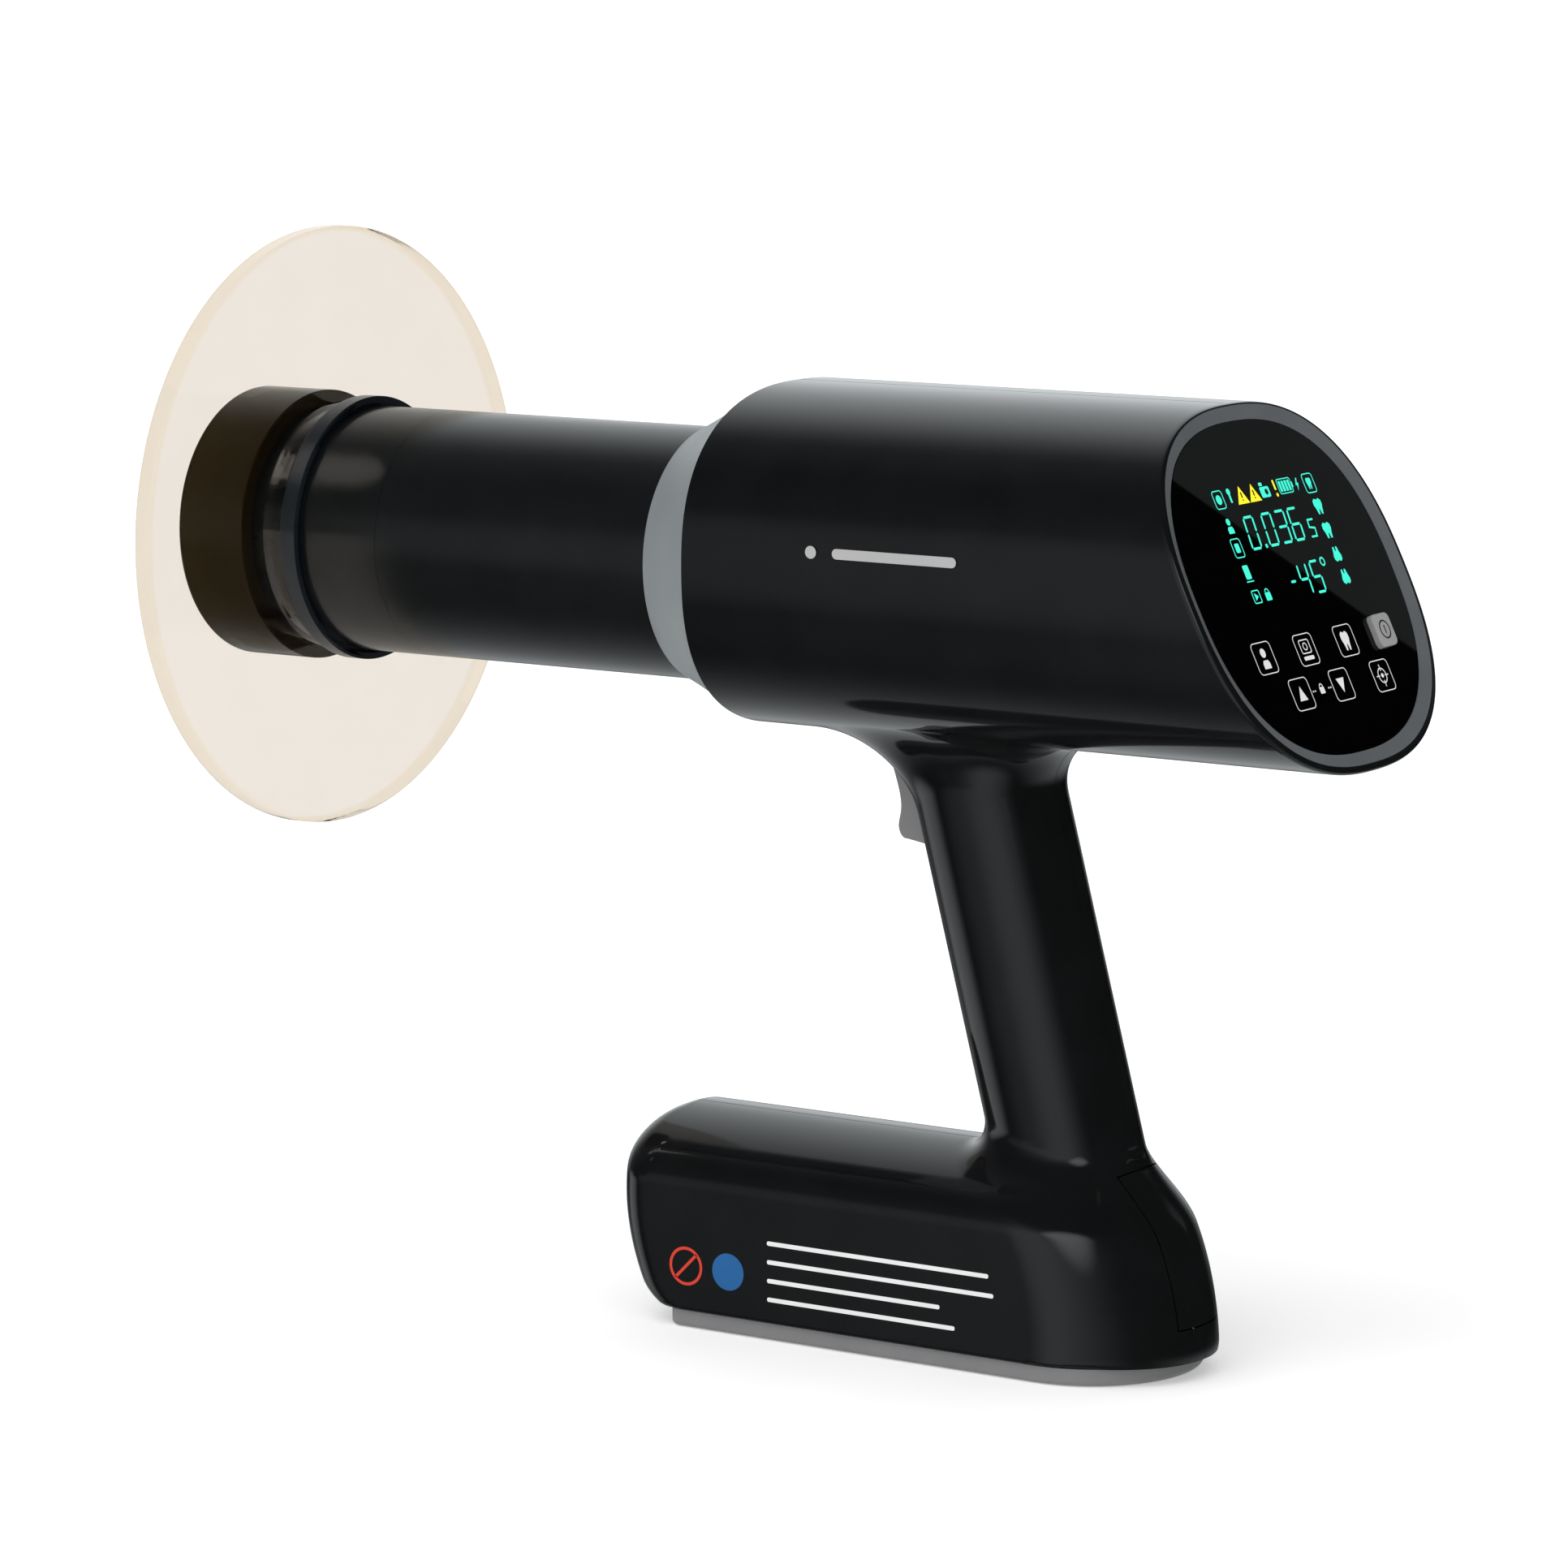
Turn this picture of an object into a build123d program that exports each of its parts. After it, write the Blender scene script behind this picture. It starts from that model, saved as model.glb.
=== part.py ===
"""Handheld intraoral x-ray unit, in millimetres.

The unit stands on the flat plate under its base. +Z is up and the beam leaves along -X, through the
cone at the front. The user stands behind, at +X, and looks at the sloping screen. The origin is the
middle of the base plate's underside, and the unit is symmetrical about the XZ plane.
"""

import os
from math import cos, pi, radians, sin, tan

from build123d import *

os.makedirs("parts", exist_ok=True)

# ---------------------------------------------------------------- driving dimensions

# barrel and body
barrel_height = 199.5  # beam axis above the table
body_centre = barrel_height + 2.9  # middle of the body's oval section
body_half_width = 54.0
body_half_height = 43.9
body_power = 2.46  # exponent of the oval: 2 is an ellipse, more is squarer
body_front = -39.7
wall = 2.5

# sloping screen
screen_x = 107.8  # glass face at the height of the beam axis
screen_lean = 25.5  # degrees, top towards the front
rim_proud = 1.3  # rim above the glass face
glass_half_width = 48.6
glass_half_height = 43.5
glass_rise = 3.5  # middle of the glass up the slope from the beam axis
glass_thickness = 1.8
glass_gap = 0.15
gasket_thickness = 0.3
ledge_thickness = 2.5

# handle
handle_half_depth = 19.5  # fore and aft, on a level section
handle_half_width = 16.5
handle_power = 2.5
handle_lean = 0.2595  # forward travel per millimetre of height
handle_foot_height = 40.0
handle_foot_x = 45.2
handle_top_height = 176.0

# base
base_front = -76.6
base_half_width = 30.0
base_rear_centre = 48.2
base_crown = 53.2  # top of the base on its middle line
base_shoulder = 35.7  # height at which the sides start to round over
base_arch_power = 2.8
rear_arc_radius = 57.0
rear_arc_height = 10.0
front_nose_radius = 14.0
base_corner_radius = 5.0
plate_thickness = 4.5
plate_inset = 1.2

# cone and shield
cone_radius = 33.0
cone_wall = 2.5
spigot_radius = 31.0
cone_step = -152.2  # where the full cone ends and the spigot begins
cone_front = -213.0
flange_thickness = 4.0
liner_thickness = 0.6
shield_radius = 81.0
shield_thickness = 5.6
shield_rear = -189.0
shield_edge_round = 1.2
collar_radius = 36.5
collar_front = -216.4
lock_ring_radius = 35.6
lock_ring_front = -182.3
lock_ring_rear = -177.2
sleeve_front = -176.5
running_gap = 0.06
trim_ring_nose = -65.5

# trigger
trigger_half_width = 8.5
trigger_pin_x = 7.0
trigger_pin_z = 151.0
trigger_pin_radius = 1.5

# power button
button_across = 30.2  # along Y
button_up = -12.4  # up the slope from the beam axis
button_size = 8.6
button_proud = 1.5

# port cover
cover_half_width = 9.4
cover_thickness = 2.2
cover_gap = 0.35
cover_reach = 32.0  # top edge from the hinge pin
cover_pin_x = 73.3
cover_pin_z = 20.8
cover_pin_radius = 0.9
cover_barrel_radius = 3.9

# tube head
head_front = -29.0
head_rear = 59.0
head_half_width = 37.0
head_half_height = 32.0
head_wall = 3.0
head_cap_thickness = 4.0
tube_x = 8.0

# boards, cells and cables
board_thickness = 1.6
control_board_x = 74.0
cell_radius = 9.15
cell_length = 65.0
cell_front = -65.5
socket_front = 57.9
battery_cable_diameter = 3.0
switch_cable_diameter = 1.6

# housing details
flare_radius = 14.0  # where the handle meets the body
bevel_width = 3.8
ledge_width = 4.5
ear_inner = 11.6
pin_half_length = 14.0
cover_pin_half_length = 12.0

# screws, all one size
screw_radius = 1.2
screw_clearance = 1.25
head_radius = 2.3

# ---------------------------------------------------------------- planes and small helpers

lean = radians(screen_lean)
screen_normal = (cos(lean), 0, sin(lean))
screen_plane = Plane(origin=(screen_x, 0, barrel_height), x_dir=(0, 1, 0), z_dir=screen_normal)
handle_axis = Vector(-handle_lean, 0, 1)
beam_plane = Plane(origin=(0, 0, barrel_height), x_dir=(0, 1, 0), z_dir=(1, 0, 0))


def handle_x(height):
    """Middle of the handle's level section at a height."""
    return handle_foot_x - (height - handle_foot_height) * handle_lean


def oval_points(half_width, half_height, power, centre=(0, 0), count=28):
    """Points of a superellipse, evenly spread by angle."""
    points = []
    for step in range(count):
        angle = 2 * pi * step / count
        across = abs(cos(angle)) / half_width
        up = abs(sin(angle)) / half_height
        reach = (across**power + up**power) ** (-1 / power)
        points.append((centre[0] + reach * cos(angle), centre[1] + reach * sin(angle)))
    return points


def oval(half_width, half_height, power, centre=(0, 0)):
    """Face of a superellipse, made in the open sketch."""
    points = oval_points(half_width, half_height, power, centre)
    make_face(Edge.make_spline(points, periodic=True))


def body_section(inset):
    """The body's oval, moved in by an inset, in a sketch on a YZ plane."""
    oval(body_half_width - inset, body_half_height - inset, body_power, (0, body_centre))


def glass_outline(inset):
    """The glass's oval, moved in by an inset, in a sketch on the screen plane."""
    oval(glass_half_width - inset, glass_half_height - inset, body_power, (0, glass_rise))


def arc_x(height):
    """Rear outline of the base, seen from the side."""
    middle = base_rear_centre + base_half_width - rear_arc_radius
    return middle + (rear_arc_radius**2 - (height - rear_arc_height) ** 2) ** 0.5


def base_outline(inset, front, rear_centre, corner):
    """Face of the base's plan: square front with rounded corners, half-round rear."""
    half_width = base_half_width - inset
    with BuildSketch() as outline:
        with BuildLine():
            Polyline(
                (rear_centre, half_width),
                (front, half_width),
                (front, -half_width),
                (rear_centre, -half_width),
            )
            ThreePointArc(
                (rear_centre, -half_width),
                (rear_centre + half_width, 0),
                (rear_centre, half_width),
            )
        make_face()
        fillet(vertices().group_by(Axis.X)[0], radius=corner)
    return outline.sketch


def base_block(inset, floor):
    """The base's outer form, moved in by an inset and standing on a floor height."""
    half_width = base_half_width - inset
    front = base_front + inset
    arch_height = base_crown - base_shoulder - inset
    nose = front_nose_radius - inset
    nose_height = plate_thickness + nose
    nose_end = base_front + front_nose_radius + 1 + 1.6 * inset
    top = base_crown + 2
    arch = oval_points(half_width, arch_height, base_arch_power, (0, base_shoulder))
    crest = arch[: len(arch) // 2 + 1]
    plan_slack = 0.03  # keeps the plan's flat sides off the arch's
    with BuildPart() as base:
        for height in (floor, rear_arc_height, 25, 40, top):
            with BuildSketch(Plane.XY.offset(height)):
                rear_centre = arc_x(height) - base_half_width
                corner = base_corner_radius - inset
                add(base_outline(inset - plan_slack, front, rear_centre, corner))
        loft()
        with BuildSketch(Plane.YZ.offset(-100)):
            with BuildLine():
                Spline(*crest, tangents=[(0, 1), (0, -1)])
                Polyline(crest[-1], (-half_width, floor - 1), (half_width, floor - 1), crest[0])
            make_face()
        extrude(amount=200, mode=Mode.INTERSECT)
        with BuildSketch(Plane.XZ):
            with BuildLine():
                Polyline(
                    (nose_end, floor - 1),
                    (100, floor - 1),
                    (100, top),
                    (front, top),
                    (front, nose_height + 18),
                    (front + 2, nose_height),
                )
                TangentArc((front + 2, nose_height), (nose_end, floor - 1), tangent=(2, -18))
            make_face()
        extrude(amount=60, both=True, mode=Mode.INTERSECT)
    return base.part


def route_radii(points):
    """Bend radii of a cable's corners: 0.45 of the shorter run over the tangent of half the turn."""
    vectors = [Vector(*point) for point in points]
    runs = [end - start for start, end in zip(vectors, vectors[1:])]
    radii = []
    for before, after in zip(runs, runs[1:]):
        half_turn = radians(before.get_angle(after)) / 2
        radii.append(0.45 * min(before.length, after.length) / tan(half_turn))
    return radii


def cable(points, diameter):
    """Round cable along straight runs joined by tangent arcs."""
    with BuildPart() as lead:
        with BuildLine() as route:
            FilletPolyline(*points, radius=route_radii(points))
        with BuildSketch(Plane(route.wire() @ 0, z_dir=route.wire() % 0)):
            Circle(diameter / 2)
        sweep()
    return lead.part


def ring(start, end, outer, inner):
    """Round ring on the beam axis between two stations."""
    with BuildPart() as hoop:
        with BuildSketch(beam_plane.offset(start)):
            Circle(outer)
            Circle(inner, mode=Mode.SUBTRACT)
        extrude(amount=end - start)
    return hoop.part


def screw(length):
    """Screw with its head on +Z, seated at the origin."""
    with BuildPart() as fastener:
        Cylinder(screw_radius, length, align=(Align.CENTER, Align.CENTER, Align.MAX))
        Cylinder(head_radius, 2, align=(Align.CENTER, Align.CENTER, Align.MIN))
        with BuildSketch(Plane.XY.offset(2)):
            RegularPolygon(1.2, 6)
        extrude(amount=-1.1, mode=Mode.SUBTRACT)
    return fastener.part


def cross_rod(radius, half_length, mode=Mode.ADD):
    """Rod along Y through the current location, for pins and their holes."""
    Cylinder(radius, 2 * half_length, rotation=(90, 0, 0), mode=mode)


def block(low, high, mode=Mode.ADD):
    """Box between two corners."""
    with Locations(low):
        Box(*(Vector(high) - Vector(low)), align=(Align.MIN, Align.MIN, Align.MIN), mode=mode)


def save(piece, name):
    """Label a finished piece and write its STEP file."""
    piece.label = name
    export_step(piece, f"parts/{name}.step")


# ---------------------------------------------------------------- housing, left and right halves

seat_depth = glass_thickness + gasket_thickness
ledge_depth = seat_depth + ledge_thickness

with BuildPart() as housing_form:
    with BuildSketch(Plane.YZ.offset(body_front)):
        body_section(0)
    extrude(amount=190)
    split(bisect_by=screen_plane.offset(rim_proud), keep=Keep.BOTTOM)
    with BuildSketch(Plane.XY.offset(handle_foot_height)):
        oval(handle_half_depth, handle_half_width, handle_power, (handle_foot_x, 0))
    handle_run = (handle_top_height - handle_foot_height) * handle_axis.length
    extrude(amount=handle_run, dir=handle_axis)
    body_joint = edges().filter_by(
        lambda edge: edge.bounding_box().min.Z > 158 and edge.bounding_box().max.Z < 165
    )
    fillet(body_joint, radius=flare_radius)
    add(base_block(0, plate_thickness))

cover_pin_at = (cover_pin_x, 0, cover_pin_z)
with BuildPart() as cover_window:
    with Locations(cover_pin_at):
        cross_rod(cover_reach + cover_gap, cover_half_width + cover_gap)
    window_floor = cover_pin_z - cover_barrel_radius - cover_gap
    block((56, -20, window_floor), (90, 20, 60), mode=Mode.INTERSECT)

with BuildPart() as cavity:
    with BuildSketch(Plane.YZ.offset(body_front - 1)):
        body_section(wall)
    extrude(amount=190)
    split(bisect_by=screen_plane.offset(-ledge_depth), keep=Keep.BOTTOM)
    inner_foot = handle_foot_height + 2
    with BuildSketch(Plane.XY.offset(inner_foot)):
        oval(
            handle_half_depth - wall,
            handle_half_width - wall,
            handle_power,
            (handle_x(inner_foot), 0),
        )
    extrude(amount=(170 - inner_foot) * handle_axis.length, dir=handle_axis)
    add(base_block(wall, plate_thickness - 1))

# middle of each cross screw (x, z) and the depth at which its head seats in the right half
cross_screws = {
    (4, 238.3): 14,
    (72, 238): 14,
    (-21, 164.2): 10,
    (85, 166): 14,
    (29, 100): 8,
    (-71, 42): 10,
    (30, 12.5): 12,
}
plate_screws = [(-50, 24.4), (-50, -24.4), (63, 19.6), (63, -19.6)]
boss_radius = 3.0

with BuildPart() as bosses:
    for x, z in cross_screws:
        with Locations((x, 0, z)):
            Cylinder(boss_radius, 2 * body_half_width, rotation=(90, 0, 0))
    for side in (-1, 1):
        ear_middle = side * (ear_inner + 5)
        with Locations((trigger_pin_x, ear_middle, trigger_pin_z)):
            Cylinder(4, 10, rotation=(90, 0, 0))
    with Locations(*[(x, y, plate_thickness + 7) for x, y in plate_screws]):
        Cylinder(3.6, 10)
    add(housing_form.part, mode=Mode.INTERSECT)

with BuildPart() as housing:
    add(housing_form.part)
    add(cavity.part, mode=Mode.SUBTRACT)
    add(bosses.part)
    # seat of the screen glass, its bevelled surround and the opening behind it
    with BuildSketch(screen_plane.offset(-seat_depth)):
        glass_outline(-glass_gap)
    extrude(amount=seat_depth + 4, mode=Mode.SUBTRACT)
    with BuildSketch(screen_plane):
        glass_outline(-glass_gap)
    with BuildSketch(screen_plane.offset(rim_proud)):
        glass_outline(-bevel_width)
    loft(mode=Mode.SUBTRACT)
    with BuildSketch(screen_plane.offset(-ledge_depth - 1)):
        glass_outline(ledge_width)
    extrude(amount=ledge_depth + 1, mode=Mode.SUBTRACT)
    # slot for the trigger
    slot_half_width = trigger_half_width + 0.4
    with BuildSketch(Plane.XZ):
        Polygon((-20, 129.6), (12, 129.6), (12, 157.4), (-20, 157.4), align=None)
    extrude(amount=slot_half_width, both=True, mode=Mode.SUBTRACT)
    # holes for the trigger pin and the screws
    with Locations((trigger_pin_x, 0, trigger_pin_z)):
        cross_rod(trigger_pin_radius + 0.02, pin_half_length + 0.2, mode=Mode.SUBTRACT)
    for (x, z), seat in cross_screws.items():
        with Locations((x, 0, z)):
            cross_rod(screw_clearance, seat, mode=Mode.SUBTRACT)
        with Locations((x, seat + 30, z)):
            cross_rod(head_radius + 0.2, 30, mode=Mode.SUBTRACT)
    with Locations(*[(x, y, plate_thickness + 8) for x, y in plate_screws]):
        Cylinder(screw_clearance, 14, mode=Mode.SUBTRACT)
    # window of the port cover, a nail scoop above it and the holes for its pin
    add(cover_window.part, mode=Mode.SUBTRACT)
    with Locations((arc_x(cover_pin_z + cover_reach) + 2.2, 0, cover_pin_z + cover_reach - 2)):
        cross_rod(3.2, 3.5, mode=Mode.SUBTRACT)
    with Locations(cover_pin_at):
        cross_rod(cover_pin_radius + 0.02, cover_pin_half_length + 0.15, mode=Mode.SUBTRACT)

with BuildPart() as left_housing:
    add(housing.part)
    split(bisect_by=Plane.XZ, keep=Keep.TOP)
save(left_housing.part, "left_housing")

with BuildPart() as right_housing:
    add(housing.part)
    split(bisect_by=Plane.XZ, keep=Keep.BOTTOM)
save(right_housing.part, "right_housing")

with BuildPart() as housing_screws:
    for (x, z), seat in cross_screws.items():
        with Locations((x, seat, z)):
            add(screw(seat + 6), rotation=(-90, 0, 0))
save(housing_screws.part, "housing_screws")

# ---------------------------------------------------------------- base plate

with BuildPart() as base_plate:
    plate_front = base_front + front_nose_radius - 0.9
    add(base_outline(plate_inset, plate_front, base_rear_centre, 4))
    extrude(amount=plate_thickness)
    fillet(faces().sort_by(Axis.Z)[0].edges(), radius=1.2)
    # lip that centres the plate in the housing
    with BuildSketch(Plane.XY.offset(plate_thickness)):
        add(base_outline(wall + 0.3, plate_front + 6, base_rear_centre, 3))
        add(base_outline(wall + 2.3, plate_front + 8, base_rear_centre, 2), mode=Mode.SUBTRACT)
    extrude(amount=1.7)
    with Locations(*[(x, y, 0) for x, y in plate_screws]):
        Cylinder(head_radius + 0.5, 2 * 2.2, mode=Mode.SUBTRACT)
        Cylinder(screw_clearance, 30, mode=Mode.SUBTRACT)
save(base_plate.part, "base_plate")

with BuildPart() as base_plate_screws:
    with Locations(*[(x, y, 2.2) for x, y in plate_screws]):
        add(screw(10), rotation=(180, 0, 0))
save(base_plate_screws.part, "base_plate_screws")

# ---------------------------------------------------------------- cone and front trim ring

cone_bore = spigot_radius - cone_wall
liner_outer = cone_bore - 0.1
flange_rear = head_front - 0.2
flange_front = flange_rear - flange_thickness
flange_screws = [(33, 18), (33, -18), (-33, 18), (-33, -18)]
filter_front = flange_rear - 1.7
collimator_front = filter_front - 6.3

with BuildPart() as cone_tube:
    add(ring(cone_step, flange_front, cone_radius, cone_bore))
    add(ring(cone_front, cone_step, spigot_radius, cone_bore))
    with BuildSketch(beam_plane.offset(flange_front)):
        Circle(41)
        Rectangle(90, 68.4, mode=Mode.INTERSECT)
        Circle(cone_bore, mode=Mode.SUBTRACT)
        with Locations(*flange_screws):
            Circle(screw_clearance, mode=Mode.SUBTRACT)
    extrude(amount=flange_thickness)
    chamfer(faces().sort_by(Axis.X)[0].outer_wire().edges(), length=0.6)
save(cone_tube.part, "cone_tube")

with BuildPart() as cone_screws:
    for y, up in flange_screws:
        with Locations((flange_front, y, barrel_height + up)):
            add(screw(flange_thickness + head_wall), rotation=(0, -90, 0))
save(cone_screws.part, "cone_screws")

with BuildPart() as cone_front_sleeve:
    add(ring(sleeve_front, cone_step - 0.1, cone_radius, spigot_radius + 0.05))
    chamfer(faces().sort_by(Axis.X)[0].outer_wire().edges(), length=0.4)
save(cone_front_sleeve.part, "cone_front_sleeve")

liner_part = ring(cone_front + 0.5, collimator_front - 0.1, liner_outer, liner_outer - liner_thickness)
save(liner_part, "cone_lead_liner")

with BuildPart() as lead_collimator:
    with BuildSketch(beam_plane.offset(collimator_front)):
        Circle(liner_outer)
    extrude(amount=6)
    with BuildSketch(beam_plane.offset(collimator_front)):
        Circle(12)
    with BuildSketch(beam_plane.offset(collimator_front + 6)):
        Circle(9)
    loft(mode=Mode.SUBTRACT)
save(lead_collimator.part, "lead_collimator")

with BuildPart() as beam_filter:
    with BuildSketch(beam_plane.offset(filter_front)):
        Circle(liner_outer)
    extrude(amount=1.5)
save(beam_filter.part, "beam_filter")

with BuildPart() as front_trim_ring:
    trim_rear = body_front - 0.1
    plug_rear = body_front + 5.7
    with BuildSketch(beam_plane.offset(trim_ring_nose)):
        Circle(cone_radius + 0.9)
    with BuildSketch(Plane.YZ.offset(trim_rear)):
        body_section(1.0)
    loft()
    with BuildSketch(Plane.YZ.offset(trim_rear)):
        body_section(wall + 0.3)
    extrude(amount=plug_rear - trim_rear)
    with BuildSketch(beam_plane.offset(trim_ring_nose + 3)):
        Circle(cone_radius + 0.15)
    with BuildSketch(Plane.YZ.offset(plug_rear)):
        body_section(wall + 3)
    loft(mode=Mode.SUBTRACT)
    with BuildSketch(beam_plane.offset(trim_ring_nose)):
        Circle(cone_radius + 0.15)
    extrude(amount=5, mode=Mode.SUBTRACT)
save(front_trim_ring.part, "front_trim_ring")

# ---------------------------------------------------------------- backscatter shield, slides on the spigot

shield_bore = spigot_radius + running_gap
shield_sleeve_radius = 31.9
hub_bore = shield_sleeve_radius + 0.05
shield_front = shield_rear - shield_thickness

sleeve_part = ring(collar_front + 3.6, lock_ring_rear, shield_sleeve_radius, shield_bore)
save(sleeve_part, "shield_sleeve")

with BuildPart() as shield_disc:
    add(ring(shield_front, shield_rear, shield_radius, hub_bore))
    fillet(edges().sort_by(SortBy.LENGTH)[-2:], radius=shield_edge_round)
    add(ring(shield_rear, lock_ring_front - 0.1, 33.6, hub_bore))
    # two key notches in the hub, on the side away from the beam axis
    with BuildSketch(beam_plane.offset(shield_rear + 1.2)):
        for angle in (142, 218):
            with Locations(Rotation(0, 0, angle) * Pos(33.6, 0)):
                Rectangle(2, 5)
    extrude(amount=lock_ring_front - shield_rear, mode=Mode.SUBTRACT)
save(shield_disc.part, "shield_disc")

with BuildPart() as shield_collar:
    add(ring(collar_front, shield_front - 0.05, collar_radius, hub_bore))
    add(ring(collar_front, cone_front - 0.1, collar_radius, cone_bore + 0.3))
    fillet(faces().sort_by(Axis.X)[0].outer_wire().edges(), radius=1.0)
save(shield_collar.part, "shield_collar")

with BuildPart() as shield_lock_ring:
    recess_depth = 2.6
    add(ring(lock_ring_front, lock_ring_rear, lock_ring_radius, hub_bore))
    fillet(faces().sort_by(Axis.X)[0].outer_wire().edges(), radius=0.8)
    # rear recess with three wider bayonet pockets
    with BuildSketch(beam_plane.offset(lock_ring_rear - recess_depth)):
        with PolarLocations(33.8, 3):
            Rectangle(1.8, 26)
        Circle(34.8, mode=Mode.INTERSECT)
        Circle(33.9)
        Circle(hub_bore, mode=Mode.SUBTRACT)
    extrude(amount=recess_depth, mode=Mode.SUBTRACT)
save(shield_lock_ring.part, "shield_lock_ring")

# ---------------------------------------------------------------- tube head

port_radius = 13.0
lining_thickness = 1.5
cap_front = head_rear + 0.1
cap_rear = cap_front + head_cap_thickness
cap_screws = [(30, 25.5), (30, -25.5), (-30, 25.5), (-30, -25.5)]
bracket_holes_x = (1.0, 25.0)


def head_outline(inset):
    """The tube head's section, moved in by an inset, in a sketch on the beam plane."""
    RectangleRounded(2 * (head_half_width - inset), 2 * (head_half_height - inset), 12 - inset)


with BuildPart() as tube_head_casing:
    with BuildSketch(beam_plane.offset(head_front)):
        head_outline(0)
    extrude(amount=head_rear - head_front)
    with BuildSketch(beam_plane.offset(head_front + head_wall)):
        head_outline(head_wall)
    extrude(amount=head_rear - head_front - head_wall, mode=Mode.SUBTRACT)
    # corner posts for the end cap's screws
    with BuildSketch(beam_plane.offset(head_rear - 12)):
        with Locations(*cap_screws):
            Circle(3.4)
    extrude(amount=12)
    with BuildSketch(beam_plane.offset(head_rear - 12)):
        with Locations(*cap_screws):
            Circle(screw_clearance)
    extrude(amount=12, mode=Mode.SUBTRACT)
    with BuildSketch(beam_plane.offset(head_front)):
        Circle(port_radius)
        with Locations(*flange_screws):
            Circle(screw_clearance)
    extrude(amount=head_wall, mode=Mode.SUBTRACT)
    with Locations(*[(x, 0, barrel_height + 1.5) for x in bracket_holes_x]):
        cross_rod(screw_clearance, 60, mode=Mode.SUBTRACT)
save(tube_head_casing.part, "tube_head_casing")

with BuildPart() as tube_head_end_cap:
    with BuildSketch(beam_plane.offset(cap_front)):
        head_outline(0)
        with Locations(*cap_screws):
            Circle(screw_clearance, mode=Mode.SUBTRACT)
    extrude(amount=head_cap_thickness)
save(tube_head_end_cap.part, "tube_head_end_cap")

with BuildPart() as end_cap_screws:
    for y, up in cap_screws:
        with Locations((cap_rear, y, barrel_height + up)):
            add(screw(12), rotation=(0, 90, 0))
save(end_cap_screws.part, "end_cap_screws")

with BuildPart() as tube_head_lead_lining:
    lining_inset = head_wall + 0.1
    lining_front = head_front + head_wall + 0.1
    with BuildSketch(beam_plane.offset(lining_front)):
        head_outline(lining_inset)
    extrude(amount=head_rear - 12.2 - lining_front)
    with BuildSketch(beam_plane.offset(lining_front + lining_thickness)):
        head_outline(lining_inset + lining_thickness)
    extrude(amount=80, mode=Mode.SUBTRACT)
    with BuildSketch(beam_plane.offset(lining_front)):
        Circle(port_radius + 4.5)
        with Locations(*flange_screws):
            Circle(screw_clearance + 0.6)
    extrude(amount=lining_thickness, mode=Mode.SUBTRACT)
save(tube_head_lead_lining.part, "tube_head_lead_lining")

with BuildPart() as beam_window:
    with BuildSketch(beam_plane.offset(lining_front)):
        Circle(port_radius + 4.3)
    extrude(amount=1.2)
save(beam_window.part, "beam_window")

tube_radius = 13.0
tube_half_length = 26.0
glass_wall = 1.2
tube_middle = (tube_x, 0, barrel_height)
anode_stem = 4.0
cathode_stem = 3.0

with BuildPart() as xray_tube_glass:
    with Locations(tube_middle):
        cross_rod(tube_radius, tube_half_length)
    fillet(edges().filter_by(GeomType.CIRCLE), radius=4)
    with Locations(tube_middle):
        cross_rod(tube_radius - glass_wall, tube_half_length - glass_wall - 1.5, mode=Mode.SUBTRACT)
    with Locations((tube_x, tube_half_length, barrel_height)):
        cross_rod(anode_stem + 0.05, 5, mode=Mode.SUBTRACT)
    with Locations((tube_x, -tube_half_length, barrel_height)):
        cross_rod(cathode_stem + 0.05, 5, mode=Mode.SUBTRACT)
save(xray_tube_glass.part, "xray_tube_glass")

with BuildPart() as anode_block:
    with Locations((tube_x, 12, barrel_height)):
        cross_rod(7, 10)
    target_normal = (-sin(radians(20)), -cos(radians(20)), 0)
    target_plane = Plane(origin=(tube_x, 5, barrel_height), z_dir=target_normal)
    split(bisect_by=target_plane, keep=Keep.BOTTOM)
    with Locations((tube_x, 25, barrel_height)):
        cross_rod(anode_stem, 6)
save(anode_block.part, "anode_block")

with BuildPart() as cathode_cup:
    with Locations((tube_x, -16, barrel_height)):
        cross_rod(6, 6)
    with Locations((tube_x, -10, barrel_height)):
        cross_rod(3.5, 2, mode=Mode.SUBTRACT)
    with Locations((tube_x, -25, barrel_height)):
        cross_rod(cathode_stem, 6)
save(cathode_cup.part, "cathode_cup")

lining_floor = barrel_height - head_half_height + head_wall + 0.1 + lining_thickness

with BuildPart() as tube_holder:
    for side in (-1, 1):
        with Locations((tube_x, side * 17, barrel_height)):
            cross_rod(tube_radius + 2.5, 2)
        block((tube_x - 5, side * 17 - 2, lining_floor + 0.1), (tube_x + 5, side * 17 + 2, 190))
    block((tube_x - 5, -19, lining_floor + 0.1), (tube_x + 5, 19, lining_floor + 2.1))
    with Locations(tube_middle):
        cross_rod(tube_radius + 0.05, 30, mode=Mode.SUBTRACT)
save(tube_holder.part, "tube_holder")

transformer_x = 41.0
transformer_z = 186.0
leg_half_depth = 7.0
leg_half_width = 4.0

with BuildPart() as transformer_core:
    with Locations((transformer_x, 0, transformer_z)):
        Box(2 * leg_half_depth, 30, 26)
        with Locations((0, 7.5, 0), (0, -7.5, 0)):
            Box(20, 7, 18, mode=Mode.SUBTRACT)
save(transformer_core.part, "transformer_core")

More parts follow.
